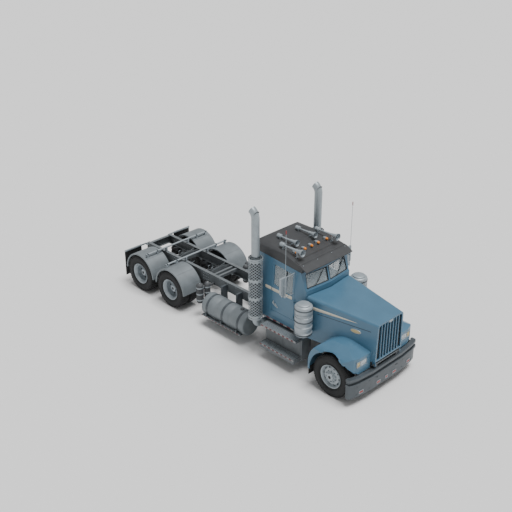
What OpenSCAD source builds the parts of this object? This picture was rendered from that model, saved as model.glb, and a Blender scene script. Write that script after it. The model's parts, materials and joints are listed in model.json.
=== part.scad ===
// Long-nosed day-cab tractor unit with three axles, two of them driven.
// Millimetres. Front toward -Y, left (driver's) side toward +X, ground at Z = 0.

/* [Overall] */
// Length from the bumper face to the rear flap hangers
overall_length = 8490; // [7000:10:11000]
// Height of the exhaust tips above the ground
overall_height = 3960; // [3300:20:4800]
// Width over the bumper ends
bumper_width = 2500; // [2000:10:3000]

/* [Frame] */
// Height of the top of the rails
rail_top = 1050; // [950:5:1250]
// Depth of a rail
rail_height = 270; // [200:5:320]
// Width over both rails
frame_width = 860; // [760:5:900]
// Width of a rail's flanges
rail_flange = 90; // [60:5:110]
// Thickness of the rail plate
rail_plate = 10; // [6:1:14]

/* [Running gear] */
// Bumper face to the front axle
front_overhang = 745; // [700:5:1300]
// Middle of the tandem to the rear hangers
rear_overhang = 1335; // [1250:5:1700]
// Distance between the two driven axles
tandem_spacing = 1310; // [1250:5:1500]
// Diameter over the tread
tyre_diameter = 1070; // [950:5:1100]
// Width of one tyre
tyre_width = 280; // [220:5:300]
// Diameter of the wheel at the tyre bead
rim_diameter = 572; // [500:1:620]
// Front track between tyre middles
front_track = 2104; // [1900:2:2200]
// Track between the middles of the twin wheels
rear_track = 1788; // [1700:2:1900]
// Distance between twin tyre middles
twin_spacing = 340; // [300:5:380]
// Distance between the king pins
kingpin_track = 1740; // [1500:5:1800]

/* [Cab] */
// Width over the cab sides
cab_width = 1760; // [1500:10:1900]
// Bumper face to the front of the bulkhead
bulkhead_back = 1830; // [1700:10:2300]
// Length of the cab from the bulkhead to its back wall
cab_length = 1790; // [1600:10:2800]
// Height of the sills
sill_height = 985; // [900:5:1100]
// Height of the waist line under the side windows
waist_height = 1895; // [1750:5:2050]
// Height of the roof joint at the back wall
roof_joint = 2715; // [2500:5:2900]
// Thickness of the walls and doors
wall = 50; // [35:1:70]
// Front of the bulkhead to the front edge of the doors
door_setback = 375; // [330:5:480]
// Width of the doors
door_width = 735; // [650:5:1000]
// Height of the bottom edge of the doors
door_bottom = 1285; // [1100:5:1400]

/* [Hood] */
// Bumper face to the grille
grille_back = 25; // [20:5:120]
// Height of the hood at its front
hood_front_height = 1912; // [1700:5:2050]
// Height of the hood at its rear
hood_rear_height = 2030; // [1900:5:2120]
// Width of the hood at its front
hood_front_width = 930; // [800:10:1200]
// Width of the hood at its rear
hood_rear_width = 1540; // [1300:10:1560]
// Thickness of the hood and fender skins
skin = 14; // [8:1:20]
// Width over the front fenders
fender_width = 2430; // [2200:10:2500]

/* [Side equipment] */
// Radius of the fuel tanks
tank_radius = 310; // [250:5:340]
// Back wall of the cab to the middle of the exhaust stacks, forward
stack_ahead = 355; // [250:5:430]
// Distance between the stacks
stack_track = 2200; // [2100:10:2400]
// Radius of the stack pipes
stack_radius = 100; // [60:1:110]
// Radius of the heat shields
shield_radius = 170; // [130:1:180]
// Distance between the air cleaners
cleaner_track = 2040; // [1950:10:2200]
// Radius of the air cleaner cans
cleaner_radius = 195; // [150:5:210]
// Distance between the mirror middles
mirror_track = 2330; // [2200:10:2500]

/* [Hidden] */
$fn = 48;

// Fits and clearances
fit_gap = 0.3;
pin_gap = 0.5;
move_gap = 6;
big = 5000;

// Lengthwise places
y_front = -overall_length / 2;
y_rear = overall_length / 2;
function back(d) = y_front + d;
front_axle_y = back(front_overhang);
tandem_y = y_rear - rear_overhang;
axle_1_y = tandem_y - tandem_spacing / 2;
axle_2_y = tandem_y + tandem_spacing / 2;
tyre_r = tyre_diameter / 2;
rim_r = rim_diameter / 2;
rail_bottom = rail_top - rail_height;
rail_x = frame_width / 2;
rail_front_y = back(110);
rail_rear_y = y_rear - 60;

// Cab places
cab_x = cab_width / 2;
cab_y0 = back(bulkhead_back);
cab_y1 = cab_y0 + cab_length;
floor_bottom = rail_top + 25;
floor_top = floor_bottom + 40;
door_y0 = cab_y0 + door_setback;
door_y1 = door_y0 + door_width;
roof_slope = 0.074;
function roof_joint_z(y) = roof_joint - roof_slope * (cab_y1 - y);
tumble = 0.068;
function cab_side_x(z) = cab_x - tumble * max(0, z - waist_height);
glass_bottom = 2170;
glass_lean = 16;
glass_vee = 5.4;
cowl_x = cab_x - 90;
cowl_y = cab_y0 + 150;
corner_x = cowl_x - 15;
// Front of the bulkhead, which follows the vee of the windscreen
function vee_y(x) = cab_y0 + abs(x) * tan(glass_vee);
hinge_x = cab_x + 12;
hinge_y = door_y0 - 4;
hinge_heights = [door_bottom + 110, door_bottom + 520];
hinge_r = 11;
hinge_pin_r = 5;

// Hood places
grille_y = back(grille_back);
hood_rear_y = cab_y0 - 20;
hood_bottom = 935;
hood_shoulder = 75;
pivot_y = back(70);
pivot_z = 850;
pivot_r = 26;
fender_x = fender_width / 2;
fender_round = tyre_r + 125;
fender_rise = 140;
fender_face_y = grille_y + 115;
arch_r = tyre_r + 78;

// Wheel places
front_wheel_x = front_track / 2;
outer_wheel_x = rear_track / 2 + twin_spacing / 2;
inner_wheel_x = rear_track / 2 - twin_spacing / 2;
hub_plane = rear_track / 2;
kingpin_x = kingpin_track / 2;
spindle_r = 38;
drive_spindle_r = 48;
arm_length = 190;
tie_rod_z = tyre_r - 95;

// Side equipment places
tank_x = 550 + tank_radius;
tank_z = 520;
tank_y0 = cab_y1 + 30;
drive_fender_r = tyre_r + 66;
tank_y1 = axle_1_y - drive_fender_r - 650;
stack_x = stack_track / 2;
stack_y = cab_y1 - stack_ahead;
shield_z0 = 1010;
shield_z1 = 2670;
cleaner_x = cleaner_track / 2;
cleaner_y = cab_y0 - 74;
cleaner_z0 = 1120;
cleaner_z1 = 1950;

// Colours
body_blue = [0.25, 0.38, 0.49];
charcoal = [0.28, 0.29, 0.30];
mid_grey = [0.47, 0.50, 0.52];
bright_metal = [0.75, 0.77, 0.79];
dark_rubber = [0.10, 0.10, 0.11];
clear_glass = [0.55, 0.62, 0.66, 0.6];
amber = [0.95, 0.45, 0.10];
interior_grey = [0.35, 0.34, 0.33];

// ---------- helpers ----------

module along_x(x0, x1) translate([x0, 0, 0]) rotate([90, 0, 90]) linear_extrude(x1 - x0) children();
module along_y(y0, y1) translate([0, y1, 0]) rotate([90, 0, 0]) linear_extrude(y1 - y0) children();
module along_z(z0, z1) translate([0, 0, z0]) linear_extrude(z1 - z0) children();
module box(x0, x1, y0, y1, z0, z1) translate([x0, y0, z0]) cube([x1 - x0, y1 - y0, z1 - z0]);
module rod_x(r, x0, x1, y, z) translate([x0, y, z]) rotate([0, 90, 0]) cylinder(r = r, h = x1 - x0);
module rod_y(r, y0, y1, x, z) translate([x, y0, z]) rotate([-90, 0, 0]) cylinder(r = r, h = y1 - y0);
module rod_z(r, z0, z1, x, y) translate([x, y, z0]) cylinder(r = r, h = z1 - z0);
module both() {
    children();
    mirror([1, 0, 0]) children();
}
module strut(p, q, r) {
    v = q - p;
    length = norm(v);
    translate(p) rotate([0, acos(v[2] / length), atan2(v[1], v[0])]) cylinder(r = r, h = length);
}
module rounded(w, h, r) {
    square([w - 2 * r, h], center = true);
    square([w, h - 2 * r], center = true);
    for (x = [-w / 2 + r, w / 2 - r], y = [-h / 2 + r, h / 2 - r]) translate([x, y]) circle(r);
}

// ---------- frame ----------

// Bolt holes for a coupler's side angles, in each rail over the tandem
coupler_pitch_y = 300;
coupler_pitch_z = 120;
coupler_z = rail_top - rail_height / 2;
coupler_hole_r = 8.5;
module frame_rails() color(mid_grey) difference() {
    both() {
        box(rail_x - rail_plate, rail_x, rail_front_y, rail_rear_y, rail_bottom, rail_top);
        for (z = [rail_bottom, rail_top - rail_plate])
            box(rail_x - rail_flange, rail_x, rail_front_y, rail_rear_y, z, z + rail_plate);
    }
    for (y = [-coupler_pitch_y / 2, coupler_pitch_y / 2], z = [-coupler_pitch_z / 2, coupler_pitch_z / 2])
        rod_x(coupler_hole_r, -rail_x - 1, rail_x + 1, tandem_y + y, coupler_z + z);
}

tow_bore_r = 26;

// A pressed member that bows along the frame between the rail webs
module bowed_member(y, bow, z0, z1) {
    half = rail_x - rail_plate;
    r = (half * half + bow * bow) / (2 * bow);
    intersection() {
        along_z(z0, z1) translate([0, y - r]) difference() {
            circle(r, $fn = 180);
            circle(r - 12, $fn = 180);
        }
        box(-half, half, y - bow - 20, y + 1, z0, z1);
    }
}
module crossmembers() color(mid_grey) {
    half = rail_x - rail_plate;
    low = rail_bottom + rail_plate + 10;
    high = rail_top - rail_plate - 10;
    // bowed pair between the axles and one ahead of the tandem, back to back
    for (y = [tandem_y, axle_1_y - 640]) {
        translate([0, -12, 0]) bowed_member(y, 90, low, high);
        mirror([0, 1, 0]) translate([0, -12, 0]) bowed_member(-y, 90, low, high);
    }
    // closing member with the tow pin bore
    difference() {
        union() {
            box(-half, half, rail_rear_y - 12, rail_rear_y, low, high);
            for (z = [low, high - 12]) box(-half, half, rail_rear_y - 90, rail_rear_y - 12, z, z + 12);
            rod_y(60, rail_rear_y - 40, rail_rear_y, 0, (low + high) / 2);
        }
        rod_y(tow_bore_r, rail_rear_y - 91, rail_rear_y + 1, 0, (low + high) / 2);
    }
    // straight tubes ahead of the tandem
    for (y = [tank_y1 + 200, tank_y1 + 360]) box(-half, half, y, y + 60, rail_top - 110, rail_top - 30);
    // member over the propeller shaft
    box(-half, half, cab_y1 - 680, cab_y1 - 620, rail_top - 100, rail_top - 20);
}

// Front member that the hood pivots on, with its side plates
module pivot_member() color(mid_grey) {
    rod_x(pivot_r, -rail_x - 60, rail_x + 60, pivot_y, pivot_z);
    both() along_x(rail_x, rail_x + 12) difference() {
        union() {
            translate([pivot_y, pivot_z]) circle(50);
            translate([pivot_y, pivot_z - 50]) square([240, 100]);
        }
        translate([pivot_y, pivot_z]) circle(pivot_r - 1);
    }
}

// ---------- front end on the chassis ----------

bumper_x = bumper_width / 2;
bumper_z0 = 225;
bumper_z1 = 755;
// Heights of the projecting ridge and of the groove above it
ridge_z0 = 555;
ridge_z1 = 612;
groove_z1 = 692;
bumper_plate = 10;
bumper_depth = 245;
// Plan of the bumper, swept back toward its ends, with its face set back by inset
module bumper_plan(inset) {
    x = bumper_x - inset / 2;
    right = [[bumper_x - 700, y_front + inset], [bumper_x - 250, y_front + 45 + inset],
        [x - 45, y_front + 92 + inset], [x, y_front + 128 + inset], [x, y_front + bumper_depth + 60]];
    polygon(concat(right, [for (k = [len(right) - 1:-1:0]) [-right[k][0], right[k][1]]]));
}
module bumper() color(mid_grey) {
    groove = 48;
    difference() {
        union() {
            along_z(bumper_z0, ridge_z0) bumper_plan(30);
            along_z(ridge_z0, ridge_z1) bumper_plan(0);
            along_z(ridge_z1, groove_z1) bumper_plan(groove);
            along_z(groove_z1, bumper_z1) bumper_plan(8);
        }
        along_z(bumper_z0 - 1, bumper_z1 - bumper_plate) bumper_plan(groove + bumper_plate);
        // rear edge of the top, parallel to the face, and of the end returns
        along_z(bumper_z1 - bumper_plate - 1, bumper_z1 + 1) bumper_plan(125);
        box(-big, big, y_front + bumper_depth, y_front + bumper_depth + 100, 0, big);
    }
    both() box(rail_x - rail_flange, rail_x - rail_plate, y_front + groove + bumper_plate - 1, rail_front_y,
        ridge_z0, pivot_z - pivot_r - 8);
}

radiator_y = grille_y + 115;
module radiator() color(charcoal) {
    box(-400, 400, radiator_y, radiator_y + 100, rail_top + 2, 1760);
    box(-rail_x + 20, rail_x - 20, radiator_y, radiator_y + 100, rail_top, rail_top + 2);
}

engine_x = rail_x - rail_flange - 10;
gearbox_y1 = cab_y0 + 590;
gearbox_z = 850;
module engine() color(mid_grey) {
    y0 = radiator_y + 220;
    y1 = cab_y0 - 330;
    box(-engine_x, engine_x, y0, y1, 700, 1600);
    both() box(engine_x, rail_x - 10, y0 + 480, y0 + 580, rail_top, rail_top + 30);
    // gearbox
    rod_y(190, y1, gearbox_y1, 0, gearbox_z);
}

// ---------- axles and suspension ----------

beam_z1 = tyre_r - 30;
kingpin_r = 20;
spring_z = tyre_r + 20;
axle_tube_r = 72;
module front_axle() color(charcoal) {
    difference() {
        union() {
            along_x(-kingpin_x + 130, kingpin_x - 130) translate([front_axle_y, beam_z1 - 60]) rounded(90, 100, 20);
            both() box(kingpin_x - 210, kingpin_x - 130, front_axle_y - 45, front_axle_y + 45, tyre_r - 130, tyre_r + 50);
            both() box(kingpin_x - 131, kingpin_x, front_axle_y - 38, front_axle_y + 38, tyre_r - 50, tyre_r + 50);
            both() rod_z(48, tyre_r - 60, tyre_r + 60, kingpin_x, front_axle_y);
            both() box(rail_x - 85, rail_x - 5, front_axle_y - 90, front_axle_y + 90, beam_z1 - 11, spring_z);
        }
        both() rod_z(kingpin_r + pin_gap, 0, big, kingpin_x, front_axle_y);
    }
}

// Leaf spring as an arc of plates with its two hangers
module leaf_spring(y, half_length, z, thick, width, x) {
    rise = rail_bottom - z - thick - 40;
    r = (half_length * half_length + rise * rise) / (2 * rise);
    intersection() {
        along_x(x - width / 2, x + width / 2) translate([y, z + r]) difference() {
            circle(r, $fn = 120);
            circle(r - thick, $fn = 120);
        }
        box(x - width, x + width, y - half_length, y + half_length, z - 1, rail_bottom);
    }
    for (s = [-1, 1]) box(x - width / 2 + 5, x + width / 2 - 5, y + s * half_length - 35,
        y + s * half_length + 35, rail_bottom - 75, rail_bottom);
}
module trailing_arm(y) {
    x = rail_x - 45;
    seat = tyre_r + axle_tube_r;
    difference() {
        union() {
            box(x - 40, x + 40, y - 480, y + 330, seat - 5, seat + 50);
            box(x - 45, x + 45, y - 85, y + 85, tyre_r + 20, seat + 50);
        }
        rod_x(axle_tube_r + fit_gap, x - 60, x + 60, y, tyre_r);
    }
    box(x - 45, x + 45, y - 520, y - 420, seat - 30, rail_bottom);
    rod_z(105, seat + 50, rail_bottom, x - 20, y + 255);
}
module suspension() color(charcoal) both() {
    leaf_spring(front_axle_y, 560, spring_z, 45, 80, rail_x - 45);
    for (y = [axle_1_y, axle_2_y]) trailing_arm(y);
}

module drive_axle(y) {
    rod_x(axle_tube_r, -inner_wheel_x + 150, inner_wheel_x - 150, y, tyre_r);
    both() rod_x(drive_spindle_r, inner_wheel_x - 150, outer_wheel_x + 20, y, tyre_r);
    rod_x(205, -70, 70, y, tyre_r);
    rod_y(95, y - 260, y, 0, tyre_r + 20);
}
module drive_axles() color(charcoal) {
    drive_axle(axle_1_y);
    drive_axle(axle_2_y);
    strut([0, gearbox_y1 + 20, gearbox_z], [0, axle_1_y - 260 - fit_gap, tyre_r + 20], 52);
    strut([0, axle_1_y + 190, tyre_r + 20], [0, axle_2_y - 260 - fit_gap, tyre_r + 20], 48);
}

// ---------- wheels, axis along X, outboard toward +X ----------

module tyre() color(dark_rubber) {
    half = tyre_width / 2;
    rotate([0, 90, 0]) rotate_extrude($fn = 96) polygon([
        [rim_r + fit_gap, -half + 34.3], [rim_r + 15, -half + 34.3], [rim_r + 17, -half + 24], [rim_r + 70, -half + 6],
        [rim_r + 125, -half], [tyre_r - 70, -half + 4], [tyre_r - 22, -half + 14],
        [tyre_r - 5, -half + 34], [tyre_r, -half + 80], [tyre_r, half - 80],
        [tyre_r - 5, half - 34], [tyre_r - 22, half - 14], [tyre_r - 70, half - 4],
        [rim_r + 125, half], [rim_r + 70, half - 6], [rim_r + 17, half - 24], [rim_r + 15, half - 34.3],
        [rim_r + fit_gap, half - 34.3]]);
}
// Rim barrel and its disc; the disc's bolting face lies at face_x
module rim(face_x, dish) {
    half = tyre_width / 2 - 34;
    side = sign(face_x);
    rotate([0, 90, 0]) rotate_extrude($fn = 96) polygon([
        [rim_r + 14, half + 12], [rim_r + 14, half + 1], [rim_r, half], [rim_r, -half],
        [rim_r + 14, -half - 1], [rim_r + 14, -half - 12], [rim_r + 6, -half - 16],
        [rim_r - 14, -half], [rim_r - 14, half], [rim_r + 6, half + 16]]);
    difference() {
        rotate([0, 90, 0]) rotate_extrude($fn = 96) polygon([
            [0, face_x - 12], [165, face_x - 12], [rim_r - 13, face_x - 12 - side * dish],
            [rim_r - 13, face_x - side * dish], [165, face_x], [0, face_x]]);
        for (a = [0:36:324]) rotate([a, 0, 0]) translate([face_x - 80, 0, 218])
            rotate([0, 90, 0]) cylinder(r = 26, h = 160);
    }
}
module front_rim() color(bright_metal) difference() {
    union() {
        rim(tyre_width / 2 - 50, 60);
        rod_x(115, -20, tyre_width / 2 - 30, 0, 0);
        rod_x(78, tyre_width / 2 - 31, tyre_width / 2 + 22, 0, 0);
        difference() {
            rod_x(212, -120, tyre_width / 2 - 60, 0, 0);
            rod_x(196, -121, tyre_width / 2 - 74, 0, 0);
        }
    }
    rod_x(spindle_r + pin_gap, -30, 60, 0, 0);
}
// Twin rims on one hub; local X = 0 is the bolting plane between them
module twin_rims() color(bright_metal) difference() {
    union() {
        translate([twin_spacing / 2, 0, 0]) rim(-twin_spacing / 2 + 12, 70);
        translate([-twin_spacing / 2, 0, 0]) rim(twin_spacing / 2, 70);
        rod_x(150, -30, 60, 0, 0);
        rod_x(112, 59, 200, 0, 0);
        rod_x(125, 199, 216, 0, 0);
        difference() {
            rod_x(212, -290, -10, 0, 0);
            rod_x(194, -291, -26, 0, 0);
        }
    }
    rod_x(drive_spindle_r + pin_gap, -31, outer_wheel_x + 20 - hub_plane + pin_gap, 0, 0);
}
module place_left(x, y) translate([x, y, tyre_r]) children();
module place_right(x, y) translate([-x, y, tyre_r]) mirror([1, 0, 0]) children();
module twin_tyres() for (s = [-1, 1]) translate([s * twin_spacing / 2, 0, 0]) tyre();

module front_tyre_left() place_left(front_wheel_x, front_axle_y) tyre();
module front_tyre_right() place_right(front_wheel_x, front_axle_y) tyre();
module front_rim_left() place_left(front_wheel_x, front_axle_y) front_rim();
module front_rim_right() place_right(front_wheel_x, front_axle_y) front_rim();
module drive_rims_left_1() place_left(hub_plane, axle_1_y) twin_rims();
module drive_rims_right_1() place_right(hub_plane, axle_1_y) twin_rims();
module drive_rims_left_2() place_left(hub_plane, axle_2_y) twin_rims();
module drive_rims_right_2() place_right(hub_plane, axle_2_y) twin_rims();
module drive_tyres_left_1() place_left(hub_plane, axle_1_y) twin_tyres();
module drive_tyres_right_1() place_right(hub_plane, axle_1_y) twin_tyres();
module drive_tyres_left_2() place_left(hub_plane, axle_2_y) twin_tyres();
module drive_tyres_right_2() place_right(hub_plane, axle_2_y) twin_tyres();

// ---------- steering ----------

module knuckle() color(charcoal) {
    y = front_axle_y;
    boss_z0 = tyre_r - 60 - pin_gap;
    boss_z1 = tyre_r + 60 + pin_gap;
    rod_z(kingpin_r, boss_z0 - 30, boss_z1 + 30, kingpin_x, y);
    rod_z(45, boss_z0 - 34, boss_z0, kingpin_x, y);
    rod_z(45, boss_z1, boss_z1 + 34, kingpin_x, y);
    box(kingpin_x + 52, kingpin_x + 74, y - 45, y + 45, boss_z0 - 34, boss_z1 + 34);
    for (z = [boss_z0 - 34, boss_z1]) box(kingpin_x, kingpin_x + 60, y - 42, y + 42, z, z + 34);
    rod_x(spindle_r, kingpin_x + 70, front_wheel_x + 50, y, tyre_r);
    // steering arm to the tie rod
    box(kingpin_x - 24, kingpin_x + 24, y, y + arm_length, boss_z0 - 34, boss_z0 - 10);
    rod_z(28, boss_z0 - 34, boss_z0 - 10, kingpin_x, y + arm_length);
    rod_z(11, tie_rod_z - 22, boss_z0 - 20, kingpin_x, y + arm_length);
}
module knuckle_left() knuckle();
module knuckle_right() mirror([1, 0, 0]) knuckle();
module tie_rod() color(charcoal) difference() {
    union() {
        rod_x(18, -kingpin_x + 10, kingpin_x - 10, front_axle_y + arm_length, tie_rod_z - 22);
        both() rod_z(26, tie_rod_z - 44, tie_rod_z, kingpin_x, front_axle_y + arm_length);
    }
    both() rod_z(11 + pin_gap, tie_rod_z - 23, big, kingpin_x, front_axle_y + arm_length);
}

column_angle = 38;
wheel_centre = [430, cab_y0 + 520, 1930];
module steering_wheel() color(charcoal) translate(wheel_centre) rotate([-column_angle, 0, 0]) {
    rotate_extrude($fn = 72) translate([215, 0]) circle(15, $fn = 24);
    rod_z(48, -30, 12, 0, 0);
    for (a = [90, 210, 330]) rotate([0, 0, a]) box(0, 212, -18, 18, -8, 4);
    rod_z(18, -140, -20, 0, 0);
}

// ---------- side equipment ----------

module fuel_tanks() color(mid_grey) both() {
    length = tank_y1 - tank_y0;
    translate([tank_x, tank_y0, tank_z]) rotate([-90, 0, 0]) rotate_extrude($fn = 96) polygon([
        [0, 0], [tank_radius - 45, 14], [tank_radius - 12, 26], [tank_radius, 50],
        [tank_radius, length - 50], [tank_radius - 12, length - 26], [tank_radius - 45, length - 14],
        [0, length]]);
    rod_z(52, tank_z + tank_radius - 20, tank_z + tank_radius + 34, tank_x, tank_y0 + 330);
}
strap_w = 60;
strap_ys = [for (f = [0.14, 0.5, 0.86]) tank_y0 + f * (tank_y1 - tank_y0)];
module tank_straps() color(bright_metal) both() {
    for (y = strap_ys) {
        difference() {
            union() {
                rod_y(tank_radius + 8, y - strap_w / 2, y + strap_w / 2, tank_x, tank_z);
                box(rail_x, tank_x - 60, y - strap_w / 2, y + strap_w / 2, tank_z - tank_radius - 8, rail_top - 60);
            }
            rod_y(tank_radius + fit_gap, y - strap_w, y + strap_w, tank_x, tank_z);
            box(tank_x - 240, tank_x, y - strap_w, y + strap_w, tank_z + 60, big);
        }
    }
    // arcs of the straps over the top of the tank
    for (y = strap_ys) intersection() {
        difference() {
            rod_y(tank_radius + 8, y - strap_w / 2, y + strap_w / 2, tank_x, tank_z);
            rod_y(tank_radius + fit_gap, y - strap_w, y + strap_w, tank_x, tank_z);
        }
        box(rail_x, tank_x + 1, y - strap_w, y + strap_w, tank_z + 50, big);
    }
    // step along the outside of each tank
    difference() {
        box(tank_x + 150, tank_x + tank_radius + 40, tank_y0 + 60, tank_y1 - 60, tank_z - 205, tank_z - 190);
        rod_y(tank_radius + 8 - 1, tank_y0, tank_y1, tank_x, tank_z);
    }
    for (y = strap_ys) difference() {
        box(tank_x + 190, tank_x + tank_radius + 36, y - 20, y + 20, tank_z - 205, tank_z - 110);
        rod_y(tank_radius + 7, y - 30, y + 30, tank_x, tank_z);
    }
}

step_y0 = cab_y0 + 15;
step_y1 = door_y1 + 115;
step_box_x0 = 620;
step_box_x1 = 950;
step_tread_x1 = 1200;
step_deck_x1 = 1150;
step_tread_z = 440;
step_deck_z = 952;
module cab_steps() color(mid_grey) both() {
    box(step_box_x0, step_box_x1, step_y0, step_y1, 330, 930);
    box(step_box_x0, step_tread_x1, step_y0 + 20, step_y1 - 20, step_tread_z - 40, step_tread_z);
    box(step_box_x1, step_tread_x1 - 12, step_y0 + 40, step_y1 - 40, 312, step_tread_z - 39);
    box(step_box_x1 - 20, step_deck_x1, step_y0 + 10, step_y1 - 10, step_deck_z - 52, step_deck_z);
    // arms to the frame rail
    for (y = [step_y0 + 150, step_y1 - 210]) box(rail_x, step_box_x0 + 1, y, y + 60, 700, 900);
}

// Vertical stack with its muffler, turned-back tip and elbow under the cab
tip_bend = 260;
tip_turn = 35;
module exhaust_stacks() color(bright_metal) both() translate([stack_x, stack_y, 0]) {
    tip_z = overall_height - (tip_bend + stack_radius) * sin(tip_turn);
    difference() {
        union() {
            rod_z(stack_radius, shield_z0 - 60, tip_z, 0, 0);
            rod_z(stack_radius + 25, shield_z0 + 30, shield_z1 - 40, 0, 0);
            translate([0, tip_bend, tip_z]) rotate([90, 0, -90])
                rotate_extrude(angle = tip_turn) translate([tip_bend, 0]) circle(stack_radius);
        }
        // mouth of the pipe
        translate([0, tip_bend * (1 - cos(tip_turn)), tip_z + tip_bend * sin(tip_turn)])
            rotate([-tip_turn, 0, 0]) translate([0, 0, -45]) cylinder(r = stack_radius - 8, h = 60);
    }
    // elbow that turns inboard
    translate([-160, 0, shield_z0 - 60]) rotate([90, 0, 0]) rotate([0, 0, -90])
        rotate_extrude(angle = 90) translate([160, 0]) circle(stack_radius - 15);
    rod_x(stack_radius - 15, 460 - stack_x, -160, 0, shield_z0 - 220);
    // clamps to the cab side
    for (z = [1200, 2450]) rod_x(16, cab_side_x(z) - stack_x - (z > waist_height ? -1 : 0), -stack_radius, 0, z);
}
module heat_shields() color(bright_metal) both() translate([stack_x, stack_y, 0]) {
    difference() {
        rod_z(shield_radius, shield_z0, shield_z1, 0, 0);
        rod_z(shield_radius - 5, shield_z0 - 1, shield_z1 + 1, 0, 0);
        for (z = [1200, 2450]) rod_x(17, -shield_radius - 10, 0, 0, z);
    }
    for (k = [0:3]) translate([0, 0, shield_z0 + 60 + k * (shield_z1 - shield_z0 - 160) / 3]) difference() {
        rod_z(shield_radius + 5, 0, 40, 0, 0);
        rod_z(stack_radius + 25 + fit_gap, -1, 41, 0, 0);
    }
}

module air_cleaners() color(bright_metal) both() difference() {
    union() {
        rod_z(cleaner_radius, cleaner_z0, cleaner_z1, cleaner_x, cleaner_y);
        for (z = [cleaner_z0 + 70, (cleaner_z0 + cleaner_z1) / 2, cleaner_z1 - 110])
            rod_z(cleaner_radius + 6, z, z + 40, cleaner_x, cleaner_y);
        rod_z(cleaner_radius - 60, cleaner_z1, cleaner_z1 + 34, cleaner_x, cleaner_y);
        strut([cleaner_x - 40, cleaner_y + 110, cleaner_z0 + 170], [cowl_x - 80, cowl_y + 110, cleaner_z0 + 170], 70);
        for (z = [cleaner_z0 + 400, cleaner_z1 - 90])
            strut([cleaner_x, cleaner_y, z], [cowl_x - 60, cowl_y + 50, z], 18);
    }
    cab_outer();
}

// ---------- cab ----------

module cab_plan(inset) {
    r = 70 - inset / 2;
    x = cab_x - inset;
    y1 = cab_y1 - inset;
    difference() {
        polygon([[-x, door_y0], [-cowl_x + inset, cowl_y + inset * 0.3], [-corner_x + inset, vee_y(corner_x) + inset],
            [0, cab_y0 + inset], [corner_x - inset, vee_y(corner_x) + inset], [cowl_x - inset, cowl_y + inset * 0.3],
            [x, door_y0], [x, y1], [-x, y1]]);
        for (s = [-1, 1]) translate([s * (x - r), y1 - r]) difference() {
            translate([s > 0 ? 0 : -r - 1, 0]) square(r + 1);
            circle(r);
        }
    }
}
module cab_section(inset, z0) polygon([
    [-cab_x + inset, z0], [cab_x - inset, z0], [cab_x - inset, waist_height],
    [cab_side_x(3100) - inset, 3100], [-cab_side_x(3100) + inset, 3100], [-cab_x + inset, waist_height]]);
// Everything ahead of the two windscreen planes, set back by inset
module ahead_of_glass(inset) both() translate([0, cab_y0 + 25, glass_bottom - 20])
    rotate([0, 0, glass_vee]) rotate([-glass_lean, 0, 0]) box(-900, 1200, -900 + inset, inset, -200, 1200);
module cab_outer() intersection() {
    along_z(sill_height, 3100) cab_plan(0);
    along_y(cab_y0, cab_y1) cab_section(0, sill_height);
    difference() {
        along_x(-cab_x, cab_x) polygon([[cab_y0, sill_height], [cab_y1, sill_height],
            [cab_y1, roof_joint], [cab_y0, roof_joint_z(cab_y0)]]);
        difference() {
            ahead_of_glass(0);
            box(-big, big, -big, big, 0, glass_bottom - 20);
        }
    }
}
module cab_cavity() intersection() {
    along_z(floor_top, 3100) cab_plan(wall);
    along_y(cab_y0, cab_y1) cab_section(wall, floor_top);
    difference() {
        along_x(-cab_x, cab_x) polygon([[cab_y0, floor_top], [cab_y1, floor_top],
            [cab_y1, roof_joint + 1], [cab_y0, roof_joint_z(cab_y0) + 1]]);
        ahead_of_glass(wall);
    }
}
// Outline of a door in side view; grow widens it all round
module door_outline(grow) {
    top = roof_joint_z(door_y0) - 60;
    polygon([[door_y0 - grow, door_bottom - grow], [door_y1 + grow, door_bottom - grow],
        [door_y1 + grow, roof_joint_z(door_y1) - 60 + grow], [door_y0 - grow, top + grow]]);
}
// Side window with its stepped sill, inset from the door's edges
module window_outline() {
    y0 = door_y0 + 60;
    y1 = door_y1 - 60;
    polygon([[y0, waist_height + 20], [y0 + 250, waist_height + 20], [y1, waist_height + 110],
        [y1, roof_joint_z(y1) - 130], [y0, roof_joint_z(y0) - 130]]);
}
module side_band(x0, x1) both() along_x(x0, x1) children();
module windscreen_opening() both() translate([0, cab_y0 + 25, glass_bottom - 20])
    rotate([0, 0, glass_vee]) rotate([-glass_lean, 0, 0]) along_y(-80, 180)
        polygon([[28, 30], [cowl_x - 60, 30], [cowl_x - 82, 385], [28, 385]]);
module rear_window() along_y(cab_y1 - wall - 1, cab_y1 + 1) translate([0, 2330]) rounded(900, 380, 60);

module cab_floor() color(body_blue) {
    difference() {
        cab_outer();
        box(-big, big, -big, big, floor_top, big);
        // room for the frame
        box(-rail_x - 50, rail_x + 50, -big, big, 0, floor_bottom);
    }
    both() for (y = [cab_y0 + 120, cab_y1 - 220]) box(rail_x - 80, rail_x - 10, y, y + 90, rail_top, floor_bottom);
}
module cab_shell() color(body_blue) {
    difference() {
        cab_outer();
        cab_cavity();
        box(-big, big, -big, big, 0, floor_top);
        side_band(cab_x - 200, cab_x + 10) door_outline(move_gap);
        windscreen_opening();
        rear_window();
    }
    // hinge pins with their ears
    both() for (z = hinge_heights) {
        rod_z(hinge_pin_r, z - 44, z + 44, hinge_x, hinge_y);
        for (s = [-44, 32]) {
            rod_z(hinge_r, z + s, z + s + 12, hinge_x, hinge_y);
            box(cab_x - 12, hinge_x, hinge_y - 40, hinge_y, z + s, z + s + 12);
        }
    }
}

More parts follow.
